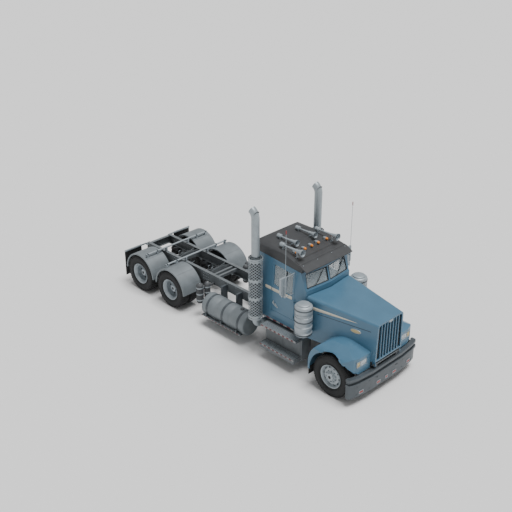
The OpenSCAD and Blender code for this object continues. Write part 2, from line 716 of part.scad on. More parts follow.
module door() color(body_blue) {
    difference() {
        intersection() {
            cab_outer();
            along_x(0, cab_x + 10) door_outline(0);
        }
        cab_cavity();
        along_x(0, cab_x + 10) window_outline();
    }
    // hinge barrels
    for (z = hinge_heights) difference() {
        union() {
            rod_z(hinge_r, z - 31, z + 31, hinge_x, hinge_y);
            box(cab_x - 4, hinge_x, hinge_y, hinge_y + 50, z - 31, z + 31);
        }
        rod_z(hinge_pin_r + pin_gap, z - 32, z + 32, hinge_x, hinge_y);
    }
    // pull handle
    box(cab_x - 1, cab_x + 14, door_y1 - 130, door_y1 - 30, waist_height - 420, waist_height - 350);
}
module door_glass() color(clear_glass) intersection() {
    difference() {
        translate([-wall / 2 + 4, 0, 0]) cab_outer();
        translate([-wall / 2 - 4, 0, 0]) cab_outer();
    }
    along_x(0, cab_x) window_outline();
}
module door_left() door();
module door_right() mirror([1, 0, 0]) door();
module door_glass_left() door_glass();
module door_glass_right() mirror([1, 0, 0]) door_glass();

module cab_glass() color(clear_glass) {
    intersection() {
        windscreen_opening();
        difference() {
            ahead_of_glass(26);
            ahead_of_glass(18);
        }
        difference() {
            box(-big, big, -big, big, 0, big);
            box(-27, 27, -big, big, 0, big);
        }
    }
    intersection() {
        rear_window();
        box(-big, big, cab_y1 - 30, cab_y1 - 22, 0, big);
    }
}

// Crowned roof panel between the joint line and the top
module roof_outer(inset) {
    x = cab_side_x(roof_joint) - inset;
    intersection() {
        along_x(-cab_x, cab_x) polygon([[cab_y0 + 190 + inset, roof_joint_z(cab_y0 + 190)],
            [cab_y0 + 170 + inset, 2705 - inset], [cab_y0 + 240, 2748 - inset], [cab_y0 + 650, 2840 - inset],
            [cab_y0 + 1100, 2910 - inset], [cab_y1 - 200, 2948 - inset], [cab_y1 - 60 - inset / 2, 2935 - inset],
            [cab_y1 - inset, 2880 - inset], [cab_y1 - inset, roof_joint]]);
        along_y(cab_y0, cab_y1) polygon([[x, 2500], [x, 2730], [x - 12, 2810], [x - 45, 2868 - inset / 2],
            [x - 110, 2905 - inset], [x - 260, 2932 - inset], [0, 2952 - inset],
            [-x + 260, 2932 - inset], [-x + 110, 2905 - inset], [-x + 45, 2868 - inset / 2],
            [-x + 12, 2810], [-x, 2730], [-x, 2500]]);
    }
}
module roof_cap() color(charcoal) difference() {
    roof_outer(0);
    difference() {
        roof_outer(40);
        box(-big, big, cab_y1 - 40, big, 0, big);
    }
    box(-cab_x + 150, cab_x - 150, cab_y0 + 260, cab_y1 - wall, 0, 2780);
}
module sun_visor() color(charcoal) difference() {
    along_x(-820, 820) polygon([[cab_y0 + 50, 2660], [cab_y0 + 50, 2636], [cab_y0 + 62, 2636],
        [cab_y0 + 66, 2652], [cab_y0 + 200, 2700], [cab_y0 + 300, 2740], [cab_y0 + 300, 2770], [cab_y0 + 225, 2752]]);
    roof_outer(0);
    cab_outer();
}

module dashboard() color(interior_grey) difference() {
    union() {
        intersection() {
            box(-cab_x, cab_x, cab_y0, cab_y0 + 330, 1560, glass_bottom - 60);
            cab_cavity();
        }
        // steering column
        translate(wheel_centre) rotate([-column_angle, 0, 0]) rod_z(34, -420, -60, 0, 0);
    }
    // clearance for the doors
    both() box(cab_x - wall - 12, cab_x, door_y0 - 20, big, 0, big);
    translate(wheel_centre) rotate([-column_angle, 0, 0]) rod_z(18 + pin_gap, -141, 0, 0, 0);
}

seat_x = 430;
seat_height = 430;
back_lean = 12;
module seat(x) {
    y = cab_y0 + 940;
    box(x - 200, x + 200, y - 120, y + 260, floor_top, floor_top + seat_height - 130);
    box(x - 255, x + 255, y - 220, y + 290, floor_top + seat_height - 130, floor_top + seat_height);
    translate([x, y + 290, floor_top + seat_height - 50]) rotate([-back_lean, 0, 0]) box(-250, 250, 0, 120, 0, 720);
}
module seats() color(interior_grey) {
    seat(seat_x);
    seat(-seat_x);
}

horn_z = 2988;
horn_foot_z = 2700;
horn_foot = 24;
module air_horn(x, y, length, bell) {
    z = horn_z;
    rod_y(22, y, y + length * 0.3, x, z);
    translate([x, y, z]) rotate([90, 0, 0]) rotate_extrude() polygon([[0, -length * 0.1], [24, -length * 0.1],
        [26, length * 0.4], [36, length * 0.62], [bell, length * 0.7], [bell, length * 0.7 + 6], [0, length * 0.7 + 6]]);
    for (foot_y = [y, y - length * 0.45])
        box(x - horn_foot / 2, x + horn_foot / 2, foot_y, foot_y + 30, horn_foot_z, z);
}
module air_horns() color(bright_metal) both() difference() {
    union() {
        air_horn(325, cab_y1 - 530, 640, 80);
        air_horn(620, cab_y1 - 930, 720, 90);
    }
    roof_outer(0);
    cab_outer();
}
lamp_xs = [-540, -237, 0, 237, 540];
module marker_lights() color(amber) difference() {
    for (x = lamp_xs) translate([x, cab_y0 + 660, 2880]) {
        rotate([-90, 0, 0]) rotate_extrude() polygon([[0, -60], [20, -50], [32, -25], [36, 0], [36, 60], [20, 90], [0, 100]]);
        box(-20, 20, -30, 60, -100, 0);
    }
    roof_outer(0);
}

// ---------- rear body work ----------

fender_x0 = 555;
fender_x1 = 1205;
fender_plate = 8;
module drive_fender(y) difference() {
    $fn = 144;
    union() {
        rod_x(drive_fender_r, fender_x0, fender_x1, y, tyre_r);
        box(fender_x1 - 10, fender_x1, y - 100, y + 100, tyre_r, tyre_r + drive_fender_r - 70);
    }
    rod_x(drive_fender_r - fender_plate, fender_x0 + 10, fender_x1 - 10, y, tyre_r);
    rod_x(drive_fender_r - 40, fender_x0 - 10, fender_x1 + 10, y, tyre_r);
    box(-big, big, -big, big, -big, tyre_r + 20);
}
module drive_fenders() color(mid_grey) both() {
    drive_fender(axle_1_y);
    drive_fender(axle_2_y);
}
fender_tube_z = 1175;
module fender_brackets() color(bright_metal) {
    for (y = [axle_1_y + 230, axle_2_y - 230]) difference() {
        union() {
            rod_x(25, -1120, 1120, y, fender_tube_z);
            both() box(rail_x - 60, rail_x - 10, y - 30, y + 30, rail_top, fender_tube_z);
            both() for (x = [700, 1040]) box(x, x + 50, y - 30, y + 30, tyre_r + 400, fender_tube_z);
        }
        both() for (a = [axle_1_y, axle_2_y]) rod_x(drive_fender_r + fit_gap, fender_x0 - 20, big, a, tyre_r);
    }
    // flap hangers at the tail
    both() {
        box(rail_x, 1200, y_rear - 40, y_rear - 14, rail_top - 60, rail_top - 20);
        box(rail_x, rail_x + 14, rail_rear_y - 60, y_rear - 14, rail_top - 90, rail_top - 20);
    }
}
module mud_flaps() color(dark_rubber) both()
    box(600, 1200, y_rear - 14, y_rear, 250, rail_top - 20);

module air_tanks() color(mid_grey) both() {
    // two upright tanks behind the fuel tank, on one bracket
    y = tank_y1 + 330;
    rod_z(100, 380, 980, 900, y);
    rod_z(85, 420, 980, 715, y - 90);
    box(rail_x, 1000, y - 70, y - 10, rail_bottom + 20, rail_bottom + 60);
}

// ---------- tilting front ----------

// Plan of the hood's left half, with its ends moved out by grow
module hood_plan(grow) polygon([[0, grille_y - grow], [1000, grille_y - grow],
    [1000, hood_rear_y + 1000 * tan(glass_vee) + grow], [0, hood_rear_y + grow]]);
// Half of the hood swept along its own shoulder line
module hood_half(inset) {
    length = hood_rear_y - grille_y;
    taper = atan((hood_rear_width - hood_front_width) / 2 / length);
    slope = atan((hood_rear_height - hood_front_height) / length);
    x = hood_rear_width / 2 - inset;
    z = -inset;
    r = hood_shoulder - inset;
    intersection() {
        translate([hood_rear_width / 2, hood_rear_y, hood_rear_height]) rotate([slope, 0, -taper])
            translate([-hood_rear_width / 2, 0, 0])
            along_y(-length - 300, 300) union() {
                polygon([[-900, z], [x - r, z], [x - r, -r - inset - 1], [x, z - r], [x + 58, -1800], [-900, -1800]]);
                translate([x - r, z - r]) circle(r);
            }
        along_z(0, 3000) hood_plan(1);
    }
}
module hood_volume(z0) intersection() {
    both() hood_half(0);
    both() along_z(z0, 3000) hood_plan(0);
}
module hood_cavity() both() hood_half(skin);
module hood() color(body_blue) {
    difference() {
        hood_volume(hood_bottom);
        hood_cavity();
        // wheel space under the hood sides
        both() rod_x(tyre_r + 95, 300, 1300, front_axle_y, tyre_r);
    }
    // arms down to the front member
    both() difference() {
        union() {
            along_x(rail_x + 20, rail_x + 40) translate([pivot_y, pivot_z]) circle(48);
            along_x(rail_x + 20, rail_x + 40) polygon([[pivot_y - 40, pivot_z], [pivot_y + 44, pivot_z],
                [pivot_y + 60, 1100], [grille_y + 60, 1100], [grille_y + 60, hood_bottom - 10],
                [pivot_y - 40, hood_bottom - 30]]);
            intersection() {
                box(rail_x + 20, rail_x + 200, grille_y + 60, pivot_y + 60, hood_bottom + 10, 1100);
                hood_volume(0);
            }
        }
        rod_x(pivot_r + pin_gap, 0, 600, pivot_y, pivot_z);
    }
}
module grille() color(body_blue) intersection() {
    union() {
        difference() {
            hood_cavity();
            translate([0, 0, -30]) scale([0.93, 1, 1]) hood_cavity();
        }
        for (k = [-3:3]) box(k * 105 - 14, k * 105 + 14, -big, big, hood_bottom, 2000);
        box(-big, big, -big, big, hood_bottom, hood_bottom + 35);
    }
    hood_cavity();
    box(-big, big, grille_y, grille_y + 40, hood_bottom, 3000);
}
module grille_mesh() color(charcoal) intersection() {
    hood_cavity();
    box(-big, big, grille_y + 40, grille_y + 52, hood_bottom, 3000);
}

headlight_x0 = 648;
headlight_x1 = 988;
headlight_z = 955;
headlight_h = 150;
// Side view of a fender: round over the wheel, upright at its rear
module fender_side(r) {
    translate([front_axle_y + 5, tyre_r + fender_rise]) circle(r, $fn = 96);
    translate([front_axle_y, 450]) square([r + 5, tyre_r + fender_rise - 450]);
}
// Fender volume: rounded in side view, in plan and toward its outer edge
module fender_outer() intersection() {
    along_x(300, fender_x) union() {
        fender_side(fender_round);
        polygon([[fender_face_y, 700], [fender_face_y, 1185], [front_axle_y - 250, 1290], [front_axle_y, 1290],
            [front_axle_y, 700]]);
    }
    along_z(0, 2000) polygon([[300, fender_face_y], [900, fender_face_y + 8], [1060, fender_face_y + 50],
        [1160, fender_face_y + 130], [fender_x, fender_face_y + 250], [fender_x, big], [300, big]]);
    along_y(-big, big) polygon([[300, 450], [fender_x, 450], [fender_x, 1090], [fender_x - 40, 1150],
        [fender_x - 130, 1200], [900, 1290], [600, 1340], [300, 1350]]);
}
module front_fender() difference() {
    fender_outer();
    // wheel space, wider inside the lip
    rod_x(arch_r, 0, big, front_axle_y, tyre_r);
    rod_x(tyre_r + 100, 0, fender_x - skin, front_axle_y, tyre_r);
    intersection() {
        along_x(0, fender_x - skin) fender_side(fender_round - skin);
        translate([0, 0, -skin]) along_y(-big, big) polygon([[0, 0], [fender_x - skin, 0],
            [fender_x - skin, 1090], [fender_x - 52, 1150], [fender_x - 140, 1200], [900, 1285], [600, 1334], [0, 1344]]);
        box(0, fender_x - skin, fender_face_y + 250, big, 0, big);
    }
    box(0, big, -big, big, 0, 480);
    box(0, big, -big, front_axle_y, 0, 770);
    hood_volume(0);
    along_x(headlight_x0, headlight_x1) translate([fender_face_y - 10, headlight_z]) square([160, headlight_h]);
}
module front_fenders() color(body_blue) both() front_fender();
module front_flaps() color(dark_rubber) both() difference() {
    box(880, fender_x - 20, front_axle_y + fender_round - 18, front_axle_y + fender_round - 6, 300, 520);
    front_fender();
}
module headlights() color(clear_glass) both() intersection() {
    along_x(headlight_x0, headlight_x1) translate([fender_face_y - 10, headlight_z]) square([100, headlight_h]);
    fender_outer();
}

// ---------- mirrors ----------

mirror_x = mirror_track / 2;
mirror_y = door_y0 + 85;
mirror_half_width = 100;
mirror_z0 = 2094;
mirror_z1 = 2510;
round_mirror_r = 50;
antenna_top = 3740;
module mirror_set() color(bright_metal) {
    antenna_y = mirror_y - 70;
    post_z0 = mirror_z0 - 94;
    post_z1 = mirror_z1 + 50;
    box(mirror_x - mirror_half_width, mirror_x + mirror_half_width, mirror_y - 25, mirror_y + 25,
        mirror_z0, mirror_z1);
    rod_y(round_mirror_r, mirror_y - 20, mirror_y + 20, mirror_x, mirror_z0 - round_mirror_r + 2);
    rod_z(10, post_z0, post_z1, mirror_x, antenna_y);
    // clips that hold both mirrors to the post
    box(mirror_x - 12, mirror_x + 12, antenna_y, mirror_y - 20, 2300, 2330);
    box(mirror_x - 12, mirror_x + 12, antenna_y, mirror_y - 10, post_z0 + 20, post_z0 + 40);
    for (z = [post_z1 - 20, post_z0 + 10]) strut([mirror_x, antenna_y, z], [cab_side_x(z) - 5, door_y0 + 30, z], 9);
    rod_z(5, post_z1 - 5, antenna_top, mirror_x, antenna_y);
}
module mirror_left() difference() {
    mirror_set();
    cab_outer();
}
module mirror_right() mirror([1, 0, 0]) mirror_left();

frame_rails();
crossmembers();
pivot_member();
bumper();
radiator();
engine();
front_axle();
suspension();
drive_axles();
fuel_tanks();
tank_straps();
cab_steps();
exhaust_stacks();
heat_shields();
cab_floor();
cab_shell();
roof_cap();
sun_visor();
cab_glass();
dashboard();
seats();
steering_wheel();
air_cleaners();
air_horns();
marker_lights();
drive_fenders();
fender_brackets();
mud_flaps();
air_tanks();
door_left();
door_right();
door_glass_left();
door_glass_right();
mirror_left();
mirror_right();
hood();
grille();
grille_mesh();
front_fenders();
front_flaps();
headlights();
knuckle_left();
knuckle_right();
tie_rod();
front_rim_left();
front_rim_right();
front_tyre_left();
front_tyre_right();
drive_rims_left_1();
drive_rims_right_1();
drive_rims_left_2();
drive_rims_right_2();
drive_tyres_left_1();
drive_tyres_right_1();
drive_tyres_left_2();
drive_tyres_right_2();
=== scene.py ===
import json
import math

import bmesh
import bpy
from mathutils import Matrix, Vector
from mathutils.bvhtree import BVHTree


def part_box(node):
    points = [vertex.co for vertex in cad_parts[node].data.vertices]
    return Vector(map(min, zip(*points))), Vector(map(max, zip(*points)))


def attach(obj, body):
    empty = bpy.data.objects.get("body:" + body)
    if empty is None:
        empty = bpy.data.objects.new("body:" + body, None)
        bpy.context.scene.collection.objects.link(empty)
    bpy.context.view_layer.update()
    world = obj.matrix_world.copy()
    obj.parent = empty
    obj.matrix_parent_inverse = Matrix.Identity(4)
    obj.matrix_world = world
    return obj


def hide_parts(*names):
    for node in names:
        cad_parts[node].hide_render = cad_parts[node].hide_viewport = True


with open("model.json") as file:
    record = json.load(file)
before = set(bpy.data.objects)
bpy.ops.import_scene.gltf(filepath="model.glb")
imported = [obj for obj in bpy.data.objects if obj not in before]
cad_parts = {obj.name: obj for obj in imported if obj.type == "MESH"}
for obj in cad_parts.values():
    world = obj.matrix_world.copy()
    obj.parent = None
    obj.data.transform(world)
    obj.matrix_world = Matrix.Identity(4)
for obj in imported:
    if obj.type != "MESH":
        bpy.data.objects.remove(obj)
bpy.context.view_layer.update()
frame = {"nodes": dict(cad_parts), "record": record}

nodes = frame["nodes"]
bodies = frame["record"]["behaviour"]["bodies"]
body_of_node = {n: b for b, names in bodies.items() for n in names}


# ---------- camera, floor and light ----------

CAMERA_LENS = 58.41
CAMERA_AZIMUTH, CAMERA_ELEVATION = -44.614, 26.894  # degrees
CAMERA_TARGET, CAMERA_DISTANCE = (0.43, 0.552, 1.604), 22.124


def make_camera():
    """The view of the photograph: over the front right corner, from well above."""
    cam = bpy.data.cameras.new("camera")
    cam.lens = CAMERA_LENS
    cam.sensor_width = 36
    cam.clip_end = 200
    ob = bpy.data.objects.new("camera", cam)
    bpy.context.collection.objects.link(ob)
    azimuth, elevation = math.radians(CAMERA_AZIMUTH), math.radians(CAMERA_ELEVATION)
    back = Vector((math.sin(azimuth) * math.cos(elevation), -math.cos(azimuth) * math.cos(elevation),
                   math.sin(elevation)))
    ob.location = Vector(CAMERA_TARGET) + back * CAMERA_DISTANCE
    ob.rotation_euler = back.to_track_quat("Z", "Y").to_euler()
    bpy.context.scene.camera = ob


def sun(name, strength, angle, rotation):
    light = bpy.data.lights.new(name, "SUN")
    light.energy = strength
    light.angle = math.radians(angle)
    ob = bpy.data.objects.new(name, light)
    ob.rotation_euler = [math.radians(a) for a in rotation]
    bpy.context.collection.objects.link(ob)


def make_studio():
    world = bpy.data.worlds.new("studio")
    bpy.context.scene.world = world
    world.use_nodes = True
    background = world.node_tree.nodes["Background"]
    background.inputs["Color"].default_value = (1.0, 1.0, 1.0, 1)
    background.inputs["Strength"].default_value = 0.45
    sun("key", 3.5, 30, (12, 4, 0))
    bpy.ops.mesh.primitive_plane_add(size=400, location=(0, 0, 0))
    floor = bpy.context.object
    floor.name = "floor"
    mat = bpy.data.materials.new("floor")
    mat.use_nodes = True
    bsdf = mat.node_tree.nodes["Principled BSDF"]
    bsdf.inputs["Base Color"].default_value = (0.80, 0.80, 0.80, 1)
    bsdf.inputs["Roughness"].default_value = 0.95
    floor.data.materials.append(mat)


# ---------- materials ----------

def shade(name, colour, rough=0.5, metal=0.0, coat=0.0, spread=0.08, scale=8.0, bump=0.0, bump_scale=60.0,
          alpha=1.0):
    """A procedural finish: mottled colour and roughness from noise, and an optional fine bump."""
    mat = bpy.data.materials.new(name)
    mat.use_nodes = True
    tree = mat.node_tree
    bsdf = tree.nodes["Principled BSDF"]
    coord = tree.nodes.new("ShaderNodeTexCoord")
    noise = tree.nodes.new("ShaderNodeTexNoise")
    noise.inputs["Scale"].default_value = scale
    noise.inputs["Detail"].default_value = 6
    tree.links.new(coord.outputs["Object"], noise.inputs["Vector"])
    ramp = tree.nodes.new("ShaderNodeValToRGB")
    low = [c * (1 - spread) for c in colour]
    high = [min(1, c * (1 + spread)) for c in colour]
    ramp.color_ramp.elements[0].color = (*low, 1)
    ramp.color_ramp.elements[0].position = 0.3
    ramp.color_ramp.elements[1].color = (*high, 1)
    ramp.color_ramp.elements[1].position = 0.7
    tree.links.new(noise.outputs["Fac"], ramp.inputs["Fac"])
    tree.links.new(ramp.outputs["Color"], bsdf.inputs["Base Color"])
    band = tree.nodes.new("ShaderNodeMapRange")
    band.inputs["To Min"].default_value = max(0.02, rough - 0.06)
    band.inputs["To Max"].default_value = min(1, rough + 0.08)
    tree.links.new(noise.outputs["Fac"], band.inputs["Value"])
    tree.links.new(band.outputs["Result"], bsdf.inputs["Roughness"])
    bsdf.inputs["Metallic"].default_value = metal
    bsdf.inputs["Coat Weight"].default_value = coat
    bsdf.inputs["Coat Roughness"].default_value = 0.15
    if alpha < 1:
        bsdf.inputs["Alpha"].default_value = alpha
    if bump:
        fine = tree.nodes.new("ShaderNodeTexNoise")
        fine.inputs["Scale"].default_value = bump_scale
        fine.inputs["Detail"].default_value = 4
        tree.links.new(coord.outputs["Object"], fine.inputs["Vector"])
        bumper = tree.nodes.new("ShaderNodeBump")
        bumper.inputs["Strength"].default_value = bump
        bumper.inputs["Distance"].default_value = 0.004
        tree.links.new(fine.outputs["Fac"], bumper.inputs["Height"])
        tree.links.new(bumper.outputs["Normal"], bsdf.inputs["Normal"])
    return mat


BLUE = shade("body_blue", (0.058, 0.150, 0.235), rough=0.38, coat=0.3, spread=0.06, scale=3)
BLACK = shade("roof_black", (0.040, 0.042, 0.045), rough=0.5, spread=0.1, scale=6, bump=0.05)
FRAME_GREY = shade("frame_grey", (0.13, 0.145, 0.155), rough=0.6, spread=0.15, scale=5, bump=0.1)
DARK = shade("chassis_dark", (0.06, 0.065, 0.07), rough=0.65, spread=0.2, scale=9, bump=0.15)
FENDER_GREY = shade("fender_grey", (0.175, 0.20, 0.215), rough=0.48, metal=0.2, spread=0.1, scale=5)
BRIGHT = shade("bright_metal", (0.34, 0.385, 0.415), rough=0.42, metal=0.3, spread=0.08, scale=10)
TYRE = shade("tyre_rubber", (0.016, 0.017, 0.018), rough=0.8, spread=0.25, scale=14, bump=0.15)
RUBBER = shade("flap_rubber", (0.014, 0.015, 0.016), rough=0.75, spread=0.2, scale=10, bump=0.1)
GLASS = shade("tinted_glass", (0.50, 0.58, 0.62), rough=0.08, alpha=0.35, spread=0.02, scale=2)
INTERIOR = shade("cab_plastic", (0.10, 0.095, 0.09), rough=0.7, spread=0.12, scale=20, bump=0.1)
CLOTH = shade("seat_cloth", (0.07, 0.075, 0.09), rough=0.9, spread=0.2, scale=80, bump=0.4, bump_scale=300)
AMBER = shade("amber_lens", (0.75, 0.25, 0.03), rough=0.25, spread=0.1, scale=20)
# near-black radiator mesh finish; it also paints the shade in the rim hand holes and down the stack mouths
MESH = shade("radiator_mesh_and_painted_shade", (0.012, 0.012, 0.014), rough=0.7, spread=0.2, scale=50)
MUFFLER = shade("muffler_dark", (0.022, 0.026, 0.030), rough=0.6, spread=0.2, scale=14)
STEEL = shade("bumper_steel", (0.080, 0.094, 0.105), rough=0.42, metal=0.35, spread=0.1, scale=6)
CHROME = shade("stack_metal", (0.34, 0.385, 0.41), rough=0.40, metal=0.3, spread=0.08, scale=9)
REFLECTOR = shade("lamp_reflector", (0.62, 0.66, 0.68), rough=0.15, metal=0.8, spread=0.05, scale=12)
LENS = shade("lamp_lens", (0.70, 0.76, 0.80), rough=0.06, alpha=0.35, spread=0.02, scale=4)
RED = shade("red_lens", (0.30, 0.018, 0.015), rough=0.3, spread=0.12, scale=20)
STRIPE = shade("cream_stripe", (0.60, 0.56, 0.46), rough=0.5, spread=0.06, scale=14)
# black rubber finish for the gaskets; it also paints the shade along the hood crease
GASKET_AND_CREASE_SHADE = shade("gasket_rubber_and_painted_crease_shade", (0.012, 0.012, 0.013), rough=0.6, spread=0.1, scale=20)
ENGINE = shade("engine_paint", (0.085, 0.095, 0.10), rough=0.5, spread=0.18, scale=12, bump=0.1)
WIRE = shade("grille_wire", (0.055, 0.06, 0.065), rough=0.45, metal=0.5, spread=0.1, scale=30)
PALE_AMBER = shade("pale_amber_lens", (0.50, 0.40, 0.20), rough=0.3, spread=0.08, scale=20)
TAPE = shade("tape_white", (0.34, 0.34, 0.34), rough=0.6, spread=0.06, scale=20)
TAPE_RED = shade("tape_red", (0.17, 0.035, 0.035), rough=0.6, spread=0.08, scale=20)
DIAL = shade("dial_face", (0.72, 0.72, 0.70), rough=0.4, spread=0.03, scale=30)

SLOT_FINISH = {"body_blue": BLUE, "roof_black": BLACK, "frame_grey": FRAME_GREY, "chassis_dark": DARK,
               "fender_grey": FENDER_GREY, "bright": BRIGHT, "tyre": TYRE, "rubber": RUBBER, "glass": GLASS,
               "interior": INTERIOR, "seat_cloth": CLOTH, "amber": AMBER, "mesh": MESH}


def finish_frame():
    for part in frame["record"]["subparts"]:
        ob = nodes[part["node"]]
        mat = SLOT_FINISH[part["material_slot"]]
        if not ob.material_slots:
            ob.data.materials.append(mat)
        for s in ob.material_slots:
            s.material = mat



# ---------- mesh building ----------

class Form:
    """Collects simple shapes in one mesh. All sizes are metres in the shared frame."""

    def __init__(self):
        self.bm = bmesh.new()

    def quad_grid(self, rows, closed_u=False, closed_v=False, caps=False):
        """Skin over rows of points; each row has the same number of points."""
        made = [[self.bm.verts.new(p) for p in row] for row in rows]
        nu, nv = len(made), len(made[0])
        for i in range(nu if closed_u else nu - 1):
            for j in range(nv if closed_v else nv - 1):
                a, b = made[i], made[(i + 1) % nu]
                self.bm.faces.new((a[j], a[(j + 1) % nv], b[(j + 1) % nv], b[j]))
        if caps:
            self.bm.faces.new(list(reversed(made[0])))
            self.bm.faces.new(made[-1])
        return made

    def box(self, lo, hi, turn=None, centre=None):
        corners = [Vector((x, y, z)) for z in (lo[2], hi[2]) for y in (lo[1], hi[1]) for x in (lo[0], hi[0])]
        if turn is not None:
            c = Vector(centre) if centre is not None else (Vector(lo) + Vector(hi)) / 2
            corners = [c + turn @ (p - c) for p in corners]
        v = [self.bm.verts.new(p) for p in corners]
        for f in ((0, 2, 3, 1), (4, 5, 7, 6), (0, 1, 5, 4), (2, 6, 7, 3), (0, 4, 6, 2), (1, 3, 7, 5)):
            self.bm.faces.new([v[i] for i in f])

    def block(self, at, half, turn=None):
        """Box about a centre, with its half sizes."""
        self.box(at - Vector(half), at + Vector(half), turn, at)

    def slab(self, x0, x1, y0, y1, z0, z1):
        """Box between two x, two y and two z values, in any order."""
        self.box((min(x0, x1), min(y0, y1), min(z0, z1)), (max(x0, x1), max(y0, y1), max(z0, z1)))

    def prism(self, outline, direction, start, end):
        """Extrudes a flat outline of (a, b) points along 'X', 'Y' or 'Z' from start to end."""
        place = {"X": lambda a, b, t: (t, a, b), "Y": lambda a, b, t: (a, t, b),
                 "Z": lambda a, b, t: (a, b, t)}
        put = place[direction]
        self.quad_grid([[put(a, b, t) for a, b in outline] for t in (start, end)], closed_v=True, caps=True)

    def lathe(self, profile, centre, axis, steps=32, closed=False):
        """Turns (radius, height) points about axis through centre."""
        axis = Vector(axis).normalized()
        side = axis.orthogonal().normalized()
        third = axis.cross(side)
        centre = Vector(centre)
        rows = []
        for t in turns(steps):
            ray = side * math.cos(t) + third * math.sin(t)
            rows.append([centre + ray * r + axis * h for r, h in profile])
        self.quad_grid(rows, closed_u=True, closed_v=closed)

    def tube(self, points, radius, sides=10, closed=False, caps=True, up=(0, 0, 1)):
        """Round bar along points."""
        points = [Vector(p) for p in points]
        rows = []
        n = len(points)
        for k, p in enumerate(points):
            before = points[k - 1] if k or closed else p
            after = points[(k + 1) % n] if k < n - 1 or closed else p
            along = (after - before).normalized()
            side = along.cross(Vector(up))
            side = side.normalized() if side.length > 1e-4 else along.orthogonal().normalized()
            lift = side.cross(along).normalized()
            stretch = 1.0
            if before != p and after != p:
                half = (p - before).angle(after - p, 0) / 2
                stretch = min(1.6, 1 / max(0.4, math.cos(half)))
            rows.append([p + side * radius * stretch * math.cos(t) + lift * radius * math.sin(t)
                         for t in turns(sides)])
        self.quad_grid(rows, closed_u=closed, closed_v=True, caps=caps and not closed)

    def bolt(self, at, axis, size=0.016, height=0.012):
        """Hexagon head on a washer, standing on a face."""
        at, axis = Vector(at), Vector(axis).normalized()
        self.lathe([(0, 0.003), (size * 1.25, 0.003), (size * 1.25, 0)], at, axis, 12)
        self.lathe([(0, height), (size * 0.85, height), (size, height * 0.8), (size, 0.002)], at, axis, 6)

    def rivets(self, points, axis, size=0.008):
        for p in points:
            self.lathe([(0, size * 0.5), (size * 0.6, size * 0.4), (size, 0)], p, axis, 8)

    def piece(self, name, body, finish, slot, bevel=0.0, segments=2, smooth=35, stands_for=(), thick=0.0):
        """Makes the object, gives it its finish and lets it ride on its body."""
        bmesh.ops.recalc_face_normals(self.bm, faces=self.bm.faces[:])
        mesh = bpy.data.meshes.new(name)
        self.bm.to_mesh(mesh)
        self.bm.free()
        ob = bpy.data.objects.new(name, mesh)
        bpy.context.collection.objects.link(ob)
        dress(ob, body, finish, bevel, segments, smooth, thick)
        if stands_for:
            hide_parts(*stands_for)
        return ob


def dress(ob, body, finish, bevel=0.0, segments=2, smooth=35, thick=0.0):
    ob.data.materials.clear()
    ob.data.materials.append(finish)
    ob.data.shade_smooth()
    ob.data.set_sharp_from_angle(angle=math.radians(smooth))
    if thick:
        solid = ob.modifiers.new("thickness", "SOLIDIFY")
        solid.thickness = thick
        solid.offset = -1
    if bevel:
        edge = ob.modifiers.new("edges", "BEVEL")
        edge.width = bevel
        edge.segments = segments
        edge.limit_method = "ANGLE"
        edge.angle_limit = math.radians(28)
        edge.use_clamp_overlap = True
        edge.harden_normals = True
    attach(ob, body)


def soften(node, name, finish, width=0.005, segments=2):
    """A copy of a node's own shape with worked edges, which stands for it."""
    mesh = nodes[node].data.copy()
    bm = bmesh.new()
    bm.from_mesh(mesh)
    bmesh.ops.remove_doubles(bm, verts=bm.verts[:], dist=2e-5)
    flat = [e for e in bm.edges if len(e.link_faces) == 2 and e.calc_face_angle(3) < math.radians(0.4)]
    bmesh.ops.dissolve_edges(bm, edges=flat, use_verts=False)
    bmesh.ops.dissolve_degenerate(bm, edges=bm.edges[:], dist=1e-5)
    bm.to_mesh(mesh)
    bm.free()
    ob = bpy.data.objects.new(name, mesh)
    bpy.context.collection.objects.link(ob)
    dress(ob, body_of_node[node], finish, width, segments)
    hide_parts(node)
    return ob


surface_trees = {}


def cast(node, start, direction):
    """Point where a straight line meets a node's surface."""
    if node not in surface_trees:
        mesh = nodes[node].data
        surface_trees[node] = BVHTree.FromPolygons([v.co.copy() for v in mesh.vertices],
                                                   [tuple(p.vertices) for p in mesh.polygons])
    return surface_trees[node].ray_cast(Vector(start), Vector(direction).normalized())[0]


def side_point(node, y, z, side, proud=0.0):
    """Point on the outer side of a node at a length and height."""
    hit = cast(node, (side * 3, y, z), (-side, 0, 0))
    return Vector((hit.x + side * proud, y, z)) if hit else None


def decal(name, node, side, spine, finish, slot, proud=0.0012, thick=0.001):
    """Thin strip laid on a node's side; spine holds (length, low, high)."""
    form = Form()
    rows = []
    for y, low, high in spine:
        a, b = side_point(node, y, low, side, proud), side_point(node, y, high, side, proud)
        if a and b:
            rows.append([a, b])
    if len(rows) > 1:
        form.quad_grid(rows)
        form.piece(name, body_of_node[node], finish, slot, thick=thick)
    return None


def span(a, b, count):
    return [a + (b - a) * k / (count - 1) for k in range(count)]


def turns(count, offset=0.0):
    """Angles that share a full turn."""
    return [2 * math.pi * (n + offset) / count for n in range(count)]


def tape_row(white, red, side, x, ys, z0, z1, thick=0.0012):
    """White and red fields of reflective tape by turns, on a side face."""
    for k, (ya, yb) in enumerate(zip(ys, ys[1:])):
        (red if k % 2 else white).slab(side * x, side * (x + thick), ya, yb, z0, z1)


def about_x(angle):
    return Matrix.Rotation(angle, 3, "X")


def seen_from_front(node, x, z):
    return cast(node, (x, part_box(node)[0].y - 1, z), (0, 1, 0))


def side_name(side):
    return "left" if side > 0 else "right"

# ---------- wheels ----------

def wheel_frame(node):
    """Centre, radius, half width and outward side of a wheel node."""
    lo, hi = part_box(node)
    centre = (lo + hi) / 2
    return centre, (hi.z - lo.z) / 2, (hi.x - lo.x) / 2, (1 if centre.x > 0 else -1)


